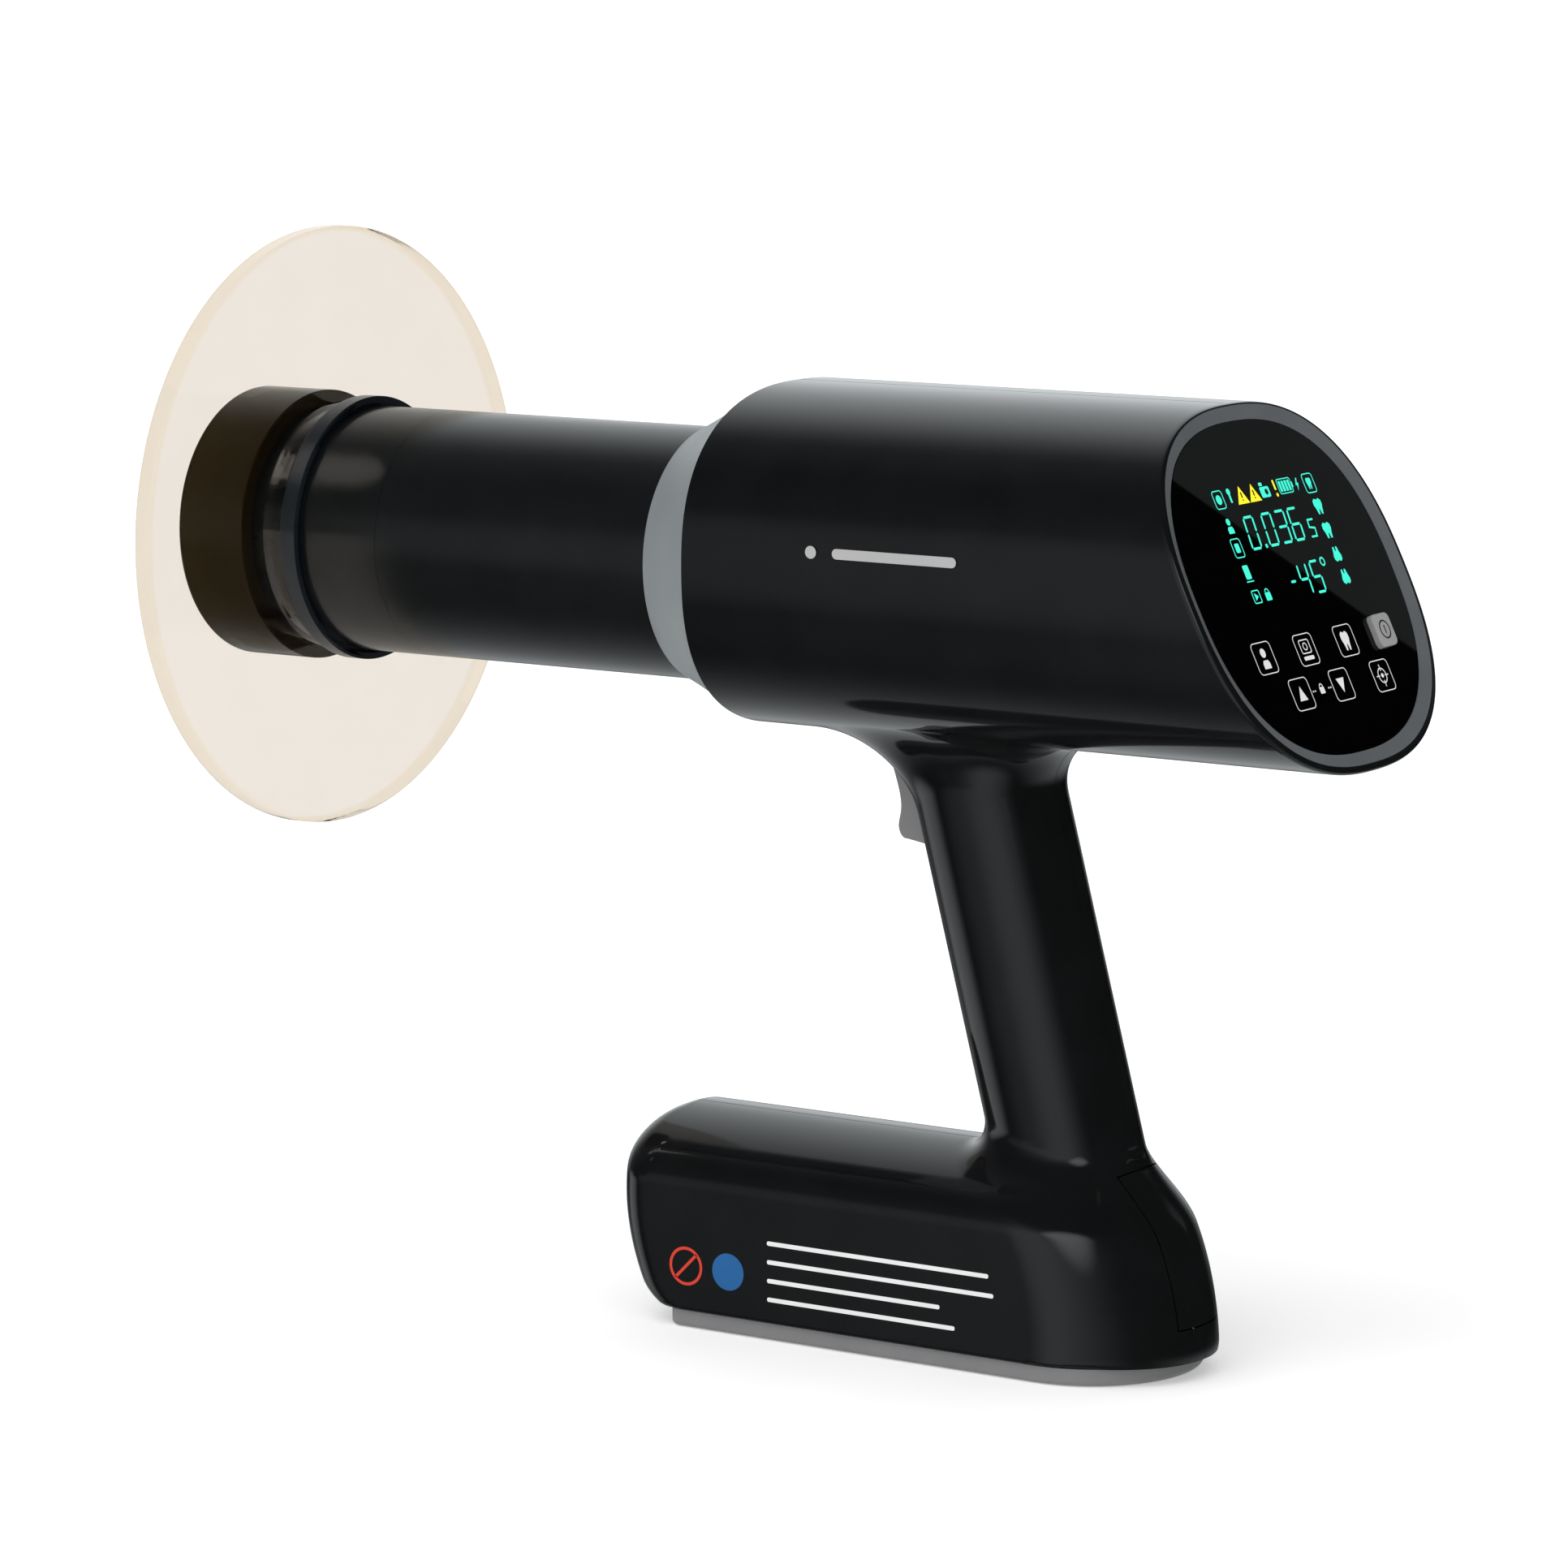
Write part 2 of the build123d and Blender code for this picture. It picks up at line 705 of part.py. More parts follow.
with BuildPart() as transformer_winding:
    with BuildSketch(Plane.XY.offset(transformer_z - 8.8)):
        with Locations((transformer_x, 0)):
            RectangleRounded(2 * leg_half_depth + 13.2, 21.2, 4)
            Rectangle(2 * leg_half_depth + 0.4, 2 * leg_half_width + 0.4, mode=Mode.SUBTRACT)
    extrude(amount=17.6)
save(transformer_winding.part, "transformer_winding")

with BuildPart() as multiplier_board:
    multiplier_z = 204.0
    block((29, -24, multiplier_z), (53, 24, multiplier_z + board_thickness))
    with Locations((transformer_x, 0, multiplier_z + board_thickness)):
        with GridLocations(9, 9, 2, 5):
            Cylinder(3, 7, align=(Align.CENTER, Align.CENTER, Align.MIN))
save(multiplier_board.part, "multiplier_board")

with BuildPart() as tube_head_brackets:
    for side in (-1, 1):
        inner = head_half_width + 0.1
        with Locations((13, side * (inner + 1), barrel_height + 1.5)):
            Box(30, 2, 24)
        with Locations((13, side * (inner + 7.7), barrel_height + 1.5)):
            Box(14, 11.4, 16)
    with Locations(*[(x, 0, barrel_height + 1.5) for x in bracket_holes_x]):
        cross_rod(screw_clearance, 60, mode=Mode.SUBTRACT)
save(tube_head_brackets.part, "tube_head_brackets")

with BuildPart() as bracket_screws:
    for side in (-1, 1):
        for x in bracket_holes_x:
            with Locations((x, side * (head_half_width + 2.1), barrel_height + 1.5)):
                add(screw(4.6), rotation=(-90 * side, 0, 0))
save(bracket_screws.part, "bracket_screws")

# ---------------------------------------------------------------- control board

standoff_places = [(22, 24), (22, -24), (-22, 24), (-22, -24)]

with BuildPart() as board_standoffs:
    with BuildSketch(beam_plane.offset(cap_rear + 0.05)):
        with Locations(*standoff_places):
            RegularPolygon(2.8, 6)
    extrude(amount=control_board_x - 0.1 - cap_rear)
save(board_standoffs.part, "board_standoffs")

with BuildPart() as head_connector:
    block((cap_rear + 0.05, -10, 184.5), (control_board_x - 0.05, 10, 191))
save(head_connector.part, "head_connector")

board_rear = control_board_x + board_thickness

with BuildPart() as control_board:
    block((control_board_x, -34, 170), (board_rear, 34, 226))
    # headers for the battery and switch cables, in front
    block((69.9, 4, 178), (control_board_x, 14, 183.8))
    block((69.9, -12, 178), (control_board_x, -4, 183.8))
    # processor, memory, coils and the display header, behind
    block((board_rear, -8, 205), (board_rear + 1.4, 8, 221))
    block((board_rear, 14, 208), (board_rear + 1.1, 24, 218))
    block((board_rear, -9, 190), (board_rear + 3, 9, 196))
    for y in (-26, -14, 14, 26):
        block((board_rear, y - 4, 174), (board_rear + 4, y + 4, 182))
    block((board_rear, -28, 198), (board_rear + 5, -16, 210))
save(control_board.part, "control_board")

# ---------------------------------------------------------------- screen

with BuildPart() as display_glass:
    with BuildSketch(screen_plane):
        glass_outline(0)
        with Locations((button_across, button_up)):
            RectangleRounded(button_size + 0.6, button_size + 0.6, 1.9, mode=Mode.SUBTRACT)
    extrude(amount=-glass_thickness)
save(display_glass.part, "display_glass")

with BuildPart() as screen_gasket:
    with BuildSketch(screen_plane.offset(-glass_thickness - 0.02)):
        glass_outline(0.4)
    extrude(amount=-gasket_thickness + 0.04)
    with BuildSketch(screen_plane):
        glass_outline(ledge_width)
    extrude(amount=-5, mode=Mode.SUBTRACT)
save(screen_gasket.part, "screen_gasket")

with BuildPart() as lcd_module:
    with BuildSketch(screen_plane.offset(-2)):
        with Locations((0, 15)):
            RectangleRounded(60, 38, 1)
    extrude(amount=-3.2)
save(lcd_module.part, "lcd_module")

display_board_depth = 6.0

with BuildPart() as display_board:
    with BuildSketch(screen_plane.offset(-display_board_depth)):
        glass_outline(6)
    extrude(amount=-board_thickness)
    with BuildSketch(screen_plane.offset(-display_board_depth - board_thickness)):
        with Locations((0, 10)):
            Rectangle(18, 6)
        with Locations((-20, -14), (18, -18)):
            Rectangle(9, 9)
    extrude(amount=-2)
save(display_board.part, "display_board")

with BuildPart() as power_button:
    with BuildSketch(screen_plane.offset(-3)):
        with Locations((button_across, button_up)):
            RectangleRounded(button_size + 1.8, button_size + 1.8, 2)
    extrude(amount=0.8)
    with BuildSketch(screen_plane.offset(-3)):
        with Locations((button_across, button_up)):
            RectangleRounded(button_size, button_size, 1.6)
    extrude(amount=3 + button_proud)
    screen_axis = Axis((0, 0, 0), screen_normal)
    fillet(faces().filter_by(screen_axis).sort_by(screen_axis)[-1].edges(), radius=0.4)
save(power_button.part, "power_button")

with BuildPart() as power_switch:
    with BuildSketch(screen_plane.offset(-display_board_depth + 0.02)):
        with Locations((button_across, button_up)):
            Rectangle(6, 6)
    extrude(amount=1.58)
    with BuildSketch(screen_plane.offset(-5.9)):
        with Locations((button_across, button_up)):
            Circle(trigger_pin_radius + running_gap)
    extrude(amount=2, mode=Mode.SUBTRACT)
save(power_switch.part, "power_switch")

with BuildPart() as power_switch_plunger:
    with BuildSketch(screen_plane.offset(-5.2)):
        with Locations((button_across, button_up)):
            Circle(1.5)
    extrude(amount=2.15)
save(power_switch_plunger.part, "power_switch_plunger")

# ---------------------------------------------------------------- trigger and exposure switch

trigger_back = 11.0
trigger_crown = 156.3
trigger_pin_at = (trigger_pin_x, 0, trigger_pin_z)

with BuildPart() as trigger:
    with BuildSketch(Plane.XZ):
        with BuildLine():
            # finger face, hooked forward at the top
            Spline((-3.4, 132.1), (-4.2, 134.2), (-3.6, 138), (-4.5, 145.3), (-7.4, 153.4))
            ThreePointArc((-7.4, 153.4), (-7.1, 155.2), (-5.2, trigger_crown))
            Polyline(
                (-5.2, trigger_crown),
                (trigger_back, trigger_crown),
                (trigger_back, 133),
                (9.5, 131.2),
                (4.8, 130.3),
                (-1.6, 131.3),
            )
            ThreePointArc((-1.6, 131.3), (-2.7, 131.5), (-3.4, 132.1))
        make_face()
    extrude(amount=trigger_half_width, both=True)
    with Locations(trigger_pin_at):
        cross_rod(trigger_pin_radius + running_gap, trigger_half_width + 1, mode=Mode.SUBTRACT)
    # hollow back
    block((1, -6.5, 134), (trigger_back - 1.5, 6.5, 146), mode=Mode.SUBTRACT)
save(trigger.part, "trigger")

with BuildPart() as trigger_pin:
    with Locations(trigger_pin_at):
        cross_rod(trigger_pin_radius, pin_half_length)
save(trigger_pin.part, "trigger_pin")

spring_wire = 0.5
spring_radius = 2.2

with BuildPart() as trigger_spring:
    spring_foot = (trigger_pin_x, trigger_half_width + 0.7, trigger_pin_z)
    with BuildLine() as coil:
        Helix(pitch=0.62, height=1.6, radius=spring_radius, center=spring_foot, direction=(0, 1, 0))
    with BuildSketch(Plane(origin=coil.line @ 0, z_dir=coil.line % 0)):
        Circle(spring_wire / 2)
    sweep()
save(trigger_spring.part, "trigger_spring")

switch_front = 15.2
switch_rear = 21.6
switch_z = 138.0
plunger_radius = 1.5
plunger_at = Plane(origin=(0, 0, switch_z), x_dir=(0, 1, 0), z_dir=(1, 0, 0))

with BuildPart() as exposure_switch:
    block((switch_front, -5, 134.5), (switch_rear, 5, 146))
    with BuildSketch(plunger_at.offset(switch_front)):
        Circle(plunger_radius + running_gap)
    extrude(amount=4.2, mode=Mode.SUBTRACT)
save(exposure_switch.part, "exposure_switch")

with BuildPart() as exposure_switch_plunger:
    with BuildSketch(plunger_at.offset(trigger_back + 0.3)):
        Circle(plunger_radius)
    extrude(amount=6.2)
    fillet(faces().sort_by(Axis.X)[0].edges(), radius=0.6)
save(exposure_switch_plunger.part, "exposure_switch_plunger")

with BuildPart() as switch_bracket:
    block((switch_rear + 0.05, -13.4, 132), (switch_rear + 1.6, 13.4, 147))
save(switch_bracket.part, "switch_bracket")

# ---------------------------------------------------------------- battery and charging, in the base

cell_y = 9.6
cell_rows = (17.7, 37.0)
cell_rear = cell_front + cell_length

with BuildPart() as battery_cells:
    for y in (-cell_y, cell_y):
        for z in cell_rows:
            with BuildSketch(Plane(origin=(cell_front, y, z), x_dir=(0, 1, 0), z_dir=(1, 0, 0))):
                Circle(cell_radius)
            extrude(amount=cell_length)
    fillet(edges().filter_by(GeomType.CIRCLE), radius=0.6)
save(battery_cells.part, "battery_cells")

with BuildPart() as battery_strips:
    for x in (cell_front - 0.35, cell_rear + 0.05):
        for y in (-cell_y, cell_y):
            block((x, y - 4, cell_rows[0] - 4), (x + 0.3, y + 4, cell_rows[1] + 4))
save(battery_strips.part, "battery_strips")

with BuildPart() as battery_holder:
    holder_front = cell_front - 0.4
    holder_rear = cell_rear + 0.4
    web_z = sum(cell_rows) / 2
    block((holder_front - 1.6, -19, 12), (holder_front, 19, 46))
    block((holder_rear, -19, 9), (holder_rear + 1.6, 19, 46))
    block((holder_front - 1, -18, web_z - 0.35), (holder_rear + 1, 18, web_z + 0.35))
    for x in (cell_front - 0.4, cell_rear):
        block((x, -cell_y - 5, web_z - 1), (x + 0.4, cell_y + 5, web_z + 1), mode=Mode.SUBTRACT)
save(battery_holder.part, "battery_holder")

with BuildPart() as battery_board:
    battery_board_x = 5.0
    block((battery_board_x, -18, 10), (battery_board_x + board_thickness, 18, 45))
    block((battery_board_x + board_thickness, -3, 14), (battery_board_x + 3.4, 9, 24))
save(battery_board.part, "battery_board")

with BuildPart() as buzzer:
    buzzer_at = Plane(origin=(6.65, -8, 35), x_dir=(0, 1, 0), z_dir=(1, 0, 0))
    with BuildSketch(buzzer_at):
        Circle(6.5)
    extrude(amount=4.5)
    with BuildSketch(buzzer_at.offset(3.5)):
        Circle(1)
    extrude(amount=1, mode=Mode.SUBTRACT)
save(buzzer.part, "buzzer")

socket_floor = 28.5

with BuildPart() as charging_board:
    block((36, -10, socket_floor - board_thickness - 0.05), (56, 10, socket_floor - 0.05))
    block((38, -8, socket_floor - 0.05), (43, 8, socket_floor + 3))
save(charging_board.part, "charging_board")

with BuildPart() as charging_socket:
    block((45, -7, socket_floor), (socket_front, 7, 38))
    block((50, -5, 30.6), (socket_front, 5, 36), mode=Mode.SUBTRACT)
save(charging_socket.part, "charging_socket")

with BuildPart() as port_panel:
    block((socket_front - 1.9, -13, 18), (socket_front + 0.1, 13, 46.5))
    block((50, -7.2, socket_floor - 0.2), (60, 7.2, 38.2), mode=Mode.SUBTRACT)
save(port_panel.part, "port_panel")

# ---------------------------------------------------------------- port cover and its hinge pin

with BuildPart() as cover_inside:
    add(base_block(cover_thickness, plate_thickness))
    with BuildSketch(Plane.XY.offset(handle_foot_height)):
        oval(
            handle_half_depth - cover_thickness,
            handle_half_width - cover_thickness,
            handle_power,
            (handle_foot_x, 0),
        )
    extrude(amount=30, dir=handle_axis)

with BuildPart() as port_cover:
    with Locations(cover_pin_at):
        cross_rod(cover_reach, cover_half_width)
    block((56, -20, cover_pin_z), (90, 20, 60), mode=Mode.INTERSECT)
    add(cover_inside.part, mode=Mode.SUBTRACT)
    with Locations(cover_pin_at):
        cross_rod(cover_barrel_radius, cover_half_width)
    add(housing_form.part, mode=Mode.INTERSECT)
    with Locations(cover_pin_at):
        cross_rod(cover_pin_radius + 0.05, cover_half_width + 1, mode=Mode.SUBTRACT)
save(port_cover.part, "port_cover")

with BuildPart() as port_cover_pin:
    with Locations(cover_pin_at):
        cross_rod(cover_pin_radius, cover_pin_half_length)
save(port_cover_pin.part, "port_cover_pin")

# ---------------------------------------------------------------- internal cables

battery_route = [
    (8.45, 7, 19),
    (18, 7, 19),
    (25, 9, 42),
    (44, 9, 60),
    (28.5, 9, 138),
    (22.5, 9, 156),
    (25, 9, 164.4),
    (72, 9, 164.8),
    (72, 9, 177.95),
]
switch_route = [
    (23.25, -3, 141),
    (29, -3, 141),
    (25, -6, 155),
    (27, -8, 164.4),
    (72, -8, 165),
    (72, -8, 177.95),
]
save(cable(battery_route, battery_cable_diameter), "battery_cable")
save(cable(switch_route, switch_cable_diameter), "switch_cable")

with BuildPart() as display_cable:
    with BuildSketch(Plane.XZ):
        with BuildLine() as ribbon:
            FilletPolyline((78.7, 193), (86, 193), (86, 203.6), (92.6, 203.6), radius=3)
        trace(line_width=0.4)
    extrude(amount=8, both=True)
save(display_cable.part, "display_cable")
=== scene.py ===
from math import cos, hypot, pi, radians, sin

import bmesh
import bpy
import numpy as np
from mathutils import Matrix, Vector


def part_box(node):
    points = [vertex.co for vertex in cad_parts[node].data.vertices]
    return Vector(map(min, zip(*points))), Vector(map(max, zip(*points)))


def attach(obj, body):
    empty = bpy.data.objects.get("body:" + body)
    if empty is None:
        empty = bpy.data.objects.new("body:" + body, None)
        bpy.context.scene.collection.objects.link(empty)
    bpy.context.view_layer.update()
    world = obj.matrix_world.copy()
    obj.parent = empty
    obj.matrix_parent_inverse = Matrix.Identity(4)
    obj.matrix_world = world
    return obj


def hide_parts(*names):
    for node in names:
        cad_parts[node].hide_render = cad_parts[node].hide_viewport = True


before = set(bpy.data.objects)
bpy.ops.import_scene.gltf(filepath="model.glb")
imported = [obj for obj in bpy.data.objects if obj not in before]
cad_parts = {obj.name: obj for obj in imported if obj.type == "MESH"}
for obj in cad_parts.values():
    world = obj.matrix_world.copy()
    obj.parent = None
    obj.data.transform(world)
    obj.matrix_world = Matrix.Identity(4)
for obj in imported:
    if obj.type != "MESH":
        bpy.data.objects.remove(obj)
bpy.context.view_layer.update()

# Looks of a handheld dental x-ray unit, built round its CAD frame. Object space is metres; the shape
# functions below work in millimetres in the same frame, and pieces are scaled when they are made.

MM = 0.001

# ---------------------------------------------------------------- sizes, in millimetres

AXIS_Z = 199.5  # beam axis
BODY_Z = 202.4  # middle of the body's oval
BODY_W, BODY_H, BODY_N = 54.0, 43.9, 2.46  # half width, half height, exponent
BODY_FRONT = -39.7
SCREEN_X = 107.8  # where the screen's plane meets the beam axis
LEAN = radians(25.5)
GLASS_W, GLASS_H, GLASS_UP = 48.6, 43.5, 3.5  # half width, half height, way of its middle up the plane
GLASS_GAP = 0.15
RIM_PROUD = 1.3  # the rim's height over the screen's plane
BEVEL = 3.8
EDGE = 1.5  # depth of the rim's rounded edge
GRIP_X, GRIP_Z, GRIP_LEAN = 45.2, 40.0, 0.2595  # a point on its middle line, and its slope
GRIP_DEPTH, GRIP_W, GRIP_N = 19.5, 16.5, 2.5
GRIP_TOP = 185.0
GRIP_TILT = 0.25  # about the angle of that slope
BASE_W = 30.0  # half width
BASE_CROWN, BASE_SAG, BASE_SHOULDER = 53.7, 10.5, 5.5  # roof's top, its fall to the side, edge radius
BASE_FRONT = -82.6
NOSE_Z, NOSE_DEPTH, NOSE_N = 34.0, 13.0, 2.6  # height of the nose's tip, length, exponent in plan
NOSE_RAKE, NOSE_CURVE = 8.0, 0.0092  # how far its top leans back, and how fast its lower part does
NOSE_SCALE = 0.6  # brings the distance there nearer to millimetres
FOOT_Z, FOOT_R = 11.0, 8.0  # rounding under the nose
REAR_X, REAR_R, REAR_Z = 78.2, 57.0, 10.0  # arc of the rear's outline: furthest point, radius, middle
# radius of the grip's fillet at the sides, and what it gains in front and behind
LOWER_BLEND = (11.0, -2.0, 9.0)
UPPER_BLEND = (13.0, 11.0, 2.0)
SCOOP_X, SCOOP_Z = 64.4, 54.6  # nail scoop over the port cover
SCOOP_SIZE, SCOOP_EDGE = (4.0, 8.0, 2.6), 1.2  # half length, half width, depth; edge radius
PLATE = 4.5  # bottom of the housing
BOTTOM_EDGE, BOTTOM_GAIN = 1.0, 1.8  # radius of its edge in front, and what it gains at the rear
ROOF_SCALE = 0.97  # allows for the roof's slope
SKIN = 1.6
SEAM = 0.05  # half the gap between the halves
SEAM_EDGE, SEAM_EASE = 0.3, 0.14  # from where their edges drop to the gap, and how far
PIN_X, PIN_Z, PIN_BARREL, PIN_BORE = 73.3, 20.8, 3.9, 0.95
COVER_REACH, COVER_W, COVER_GAP, COVER_SKIN = 32.0, 9.4, 0.35, 2.0
COVER_TOP_WAY = Vector((-0.358, 0, 0.934))  # from its pin, square to its top edge
COVER_DROP, SILL = 7.3, 0.2  # reach of the cover below its pin, wall left at the edge under it
SLOT_W, SLOT_LOW, SLOT_HIGH = 8.9, 129.6, 157.4  # trigger slot
CELL = 1.25  # grid step of the housing surface
NEAR = 0.02  # vertices closer than this to a cut lie on it
NET_LOW, NET_HIGH = (-86.25, -56.25, 2.0), (132.0, 2.5, 250.0)  # corners of the grid
SCREW_PLACES = {  # (x, z) of a screw: y of its seat
    (4, 238.3): 14,
    (72, 238): 14,
    (-21, 164.2): 10,
    (85, 166): 14,
    (29, 100): 8,
    (-71, 42): 10,
    (30, 12.5): 12,
}
POCKET_R, POCKET_WALL, POCKET_UNDER = 2.5, 0.8, 0.9  # screw wells: bore, wall, depth of their tops

SCREEN_N = np.array([cos(LEAN), 0.0, sin(LEAN)])
SCREEN_UP = np.array([-sin(LEAN), 0.0, cos(LEAN)])
SCREEN_O = np.array([SCREEN_X, 0.0, AXIS_Z])
ACROSS = np.array([0.0, 1.0, 0.0])

# ---------------------------------------------------------------- camera and light

CAMERA_AT = Vector((0.82129, -1.30138, 0.39152))
AZIMUTH, ELEVATION, ROLL = radians(33.65), radians(9.12), radians(-0.2784)
LENS = 139.86
FILL_WAY, RIM_WAY, MIDDLE_WAY = (-0.51, -0.86, 0.02), (-0.94, -0.26, -0.24), (0.37, -0.85, 0.37)
SHEEN_WAY, SHEEN_EDGE = (0.39, 0.86, 0.32), (-0.916, 0.365, 0.164)
BOX_TINT = (0.93, 0.98, 1.0, 1)


def aim_camera():
    data = bpy.data.cameras.new("camera")
    data.lens = LENS
    data.sensor_width = 36
    data.clip_end = 50
    camera = bpy.data.objects.new("camera", data)
    bpy.context.scene.collection.objects.link(camera)
    back = Vector((sin(AZIMUTH) * cos(ELEVATION), -cos(AZIMUTH) * cos(ELEVATION), sin(ELEVATION)))
    right = Vector((cos(AZIMUTH), sin(AZIMUTH), 0))
    up = back.cross(right)
    turned = right * cos(ROLL) + up * sin(ROLL)
    up = back.cross(turned)
    camera.matrix_world = Matrix.Translation(CAMERA_AT) @ Matrix((turned, up, back)).transposed().to_4x4()
    bpy.context.scene.camera = camera


def studio_light():
    """World that is plain white to the eye, with soft boxes in what glossy surfaces reflect.

    x, y and z below are the parts of the direction that a ray looks in.
    """
    world = bpy.data.worlds.new("studio")
    bpy.context.scene.world = world
    world.use_nodes = True
    nodes, links = world.node_tree.nodes, world.node_tree.links
    nodes.clear()
    place = nodes.new("ShaderNodeTexCoord")
    split = nodes.new("ShaderNodeSeparateXYZ")
    links.new(place.outputs["Generated"], split.inputs[0])

    def ramp(source, low, high, to=1.0, base=0.0):
        """Goes smoothly from base, where the source is at low, to its full value at high."""
        node = nodes.new("ShaderNodeMapRange")
        node.interpolation_type = "SMOOTHSTEP"
        links.new(source, node.inputs["Value"])
        for key, value in (("From Min", low), ("From Max", high), ("To Min", base), ("To Max", to)):
            node.inputs[key].default_value = value
        return node.outputs[0]

    def toward(direction):
        node = nodes.new("ShaderNodeVectorMath")
        node.operation = "DOT_PRODUCT"
        links.new(place.outputs["Generated"], node.inputs[0])
        node.inputs[1].default_value = Vector(direction).normalized()
        return node.outputs["Value"]

    def joined(operation, first, second):
        node = nodes.new("ShaderNodeMath")
        node.operation = operation
        links.new(first, node.inputs[0])
        links.new(second, node.inputs[1])
        return node.outputs[0]

    x, y, z = split.outputs
    # a wide overhead box behind the object, and what comes up from the pale floor behind it
    behind = joined("ADD", ramp(y, -0.05, 0.65, 0.9), ramp(y, -0.5, 0.1, 0.12))
    behind = joined("MULTIPLY", behind, ramp(x, 0.1, -0.4))
    behind = joined("MULTIPLY", behind, ramp(z, -0.25, 0.1))
    below = joined("MULTIPLY", ramp(y, -0.55, 0.8, 0.62), ramp(z, -0.15, -0.45))
    # a faint fill at the left, a rim light, and an upright strip in front with its bright middle
    fill = ramp(toward(FILL_WAY), 0.93, 1.0, 0.2)
    rim = ramp(toward(RIM_WAY), 0.9, 1.0, 0.9)
    strip = joined("MULTIPLY", ramp(x, -0.62, -0.12), ramp(x, 0.85, 0.0, 0.62))
    strip = joined("MULTIPLY", strip, ramp(y, -0.3, -0.75))
    strip = joined("MULTIPLY", strip, ramp(z, 0.7, 0.2))
    middle = ramp(toward(MIDDLE_WAY), 0.95, 1.0, 1.5)
    # the screen's sheen, with its sharp diagonal edge
    sheen = ramp(toward(SHEEN_WAY), 0.985, 0.997)
    sheen = joined("MULTIPLY", sheen, ramp(toward(SHEEN_EDGE), 0.0022, 0.0025, 0.12))
    total = behind
    for more in (below, fill, rim, strip, middle, sheen):
        total = joined("ADD", total, more)
    boxes = nodes.new("ShaderNodeBackground")
    links.new(total, boxes.inputs["Strength"])
    boxes.inputs["Color"].default_value = BOX_TINT
    plain = nodes.new("ShaderNodeBackground")
    plain.inputs["Strength"].default_value = 1.0
    rays = nodes.new("ShaderNodeLightPath")
    mix = nodes.new("ShaderNodeMixShader")
    out = nodes.new("ShaderNodeOutputWorld")
    links.new(rays.outputs["Glossy Depth"], mix.inputs[0])
    links.new(plain.outputs[0], mix.inputs[1])
    links.new(boxes.outputs[0], mix.inputs[2])
    links.new(mix.outputs[0], out.inputs[0])
    sun = bpy.data.lights.new("soft_key", "SUN")
    sun.energy = 0.9
    sun.angle = radians(50)
    lamp = bpy.data.objects.new("soft_key", sun)
    bpy.context.scene.collection.objects.link(lamp)
    lamp.rotation_euler = (radians(28), radians(-18), 0)
    lamp.visible_glossy = False
    bpy.context.scene.view_settings.view_transform = "Standard"


# ---------------------------------------------------------------- materials


def noise(nodes, links, scale, detail=3.0):
    """Noise in the object's own space; scale is in cycles a metre."""
    place = nodes.new("ShaderNodeTexCoord")
    node = nodes.new("ShaderNodeTexNoise")
    node.inputs["Scale"].default_value = scale
    node.inputs["Detail"].default_value = detail
    links.new(place.outputs["Object"], node.inputs["Vector"])
    return node.outputs[0]


def spread(nodes, links, source, low, high, start=0.3, stop=0.7):
    """Maps the source's start to stop onto low to high."""
    node = nodes.new("ShaderNodeMapRange")
    links.new(source, node.inputs["Value"])
    for key, value in (("From Min", start), ("From Max", stop), ("To Min", low), ("To Max", high)):
        node.inputs[key].default_value = value
    return node.outputs[0]


def colour_mix(nodes, links, factor):
    """Colour mix node driven by the factor: its two inputs and its output."""
    mix = nodes.new("ShaderNodeMix")
    mix.data_type = "RGBA"
    links.new(factor, mix.inputs["Factor"])
    first, second = [socket for socket in mix.inputs if socket.type == "RGBA"]
    return first, second, [socket for socket in mix.outputs if socket.type == "RGBA"][0]


def finish(name, colour, rough, metal=0.0, grain=1600, relief=0.004, mottle=0.12, polish=0.12, **sockets):
    """Material with fine moulded relief, slight mottling and an uneven polish; relief is in millimetres."""
    material = bpy.data.materials.new(name)
    material.use_nodes = True
    nodes, links = material.node_tree.nodes, material.node_tree.links
    shader = nodes["Principled BSDF"]
    shader.inputs["Metallic"].default_value = metal
    for key, value in sockets.items():
        shader.inputs[key.replace("_", " ")].default_value = value
    factor = spread(nodes, links, noise(nodes, links, 70), 0, 1)
    darker, lighter, blended = colour_mix(nodes, links, factor)
    for socket, share in ((darker, 1 - mottle), (lighter, 1 + mottle)):
        socket.default_value = (*[min(1.0, value * share) for value in colour], 1)
    links.new(blended, shader.inputs["Base Color"])
    rub = spread(nodes, links, noise(nodes, links, 28, 5), rough * (1 - polish), rough * (1 + polish))
    links.new(rub, shader.inputs["Roughness"])
    bump = nodes.new("ShaderNodeBump")
    bump.inputs["Strength"].default_value = 0.5
    bump.inputs["Distance"].default_value = relief * MM
    links.new(noise(nodes, links, grain), bump.inputs["Height"])
    links.new(bump.outputs[0], shader.inputs["Normal"])
    return material


def glow(name, colour, strength):
    """Lit segment: dark when off, with a little variation from the light guide behind it."""
    material = finish(name, [0.3 * value for value in colour], 0.35, Emission_Color=(*colour, 1))
    nodes, links = material.node_tree.nodes, material.node_tree.links
    level = spread(nodes, links, noise(nodes, links, 300), strength * 0.9, strength * 1.08)
    links.new(level, nodes["Principled BSDF"].inputs["Emission Strength"])
    return material


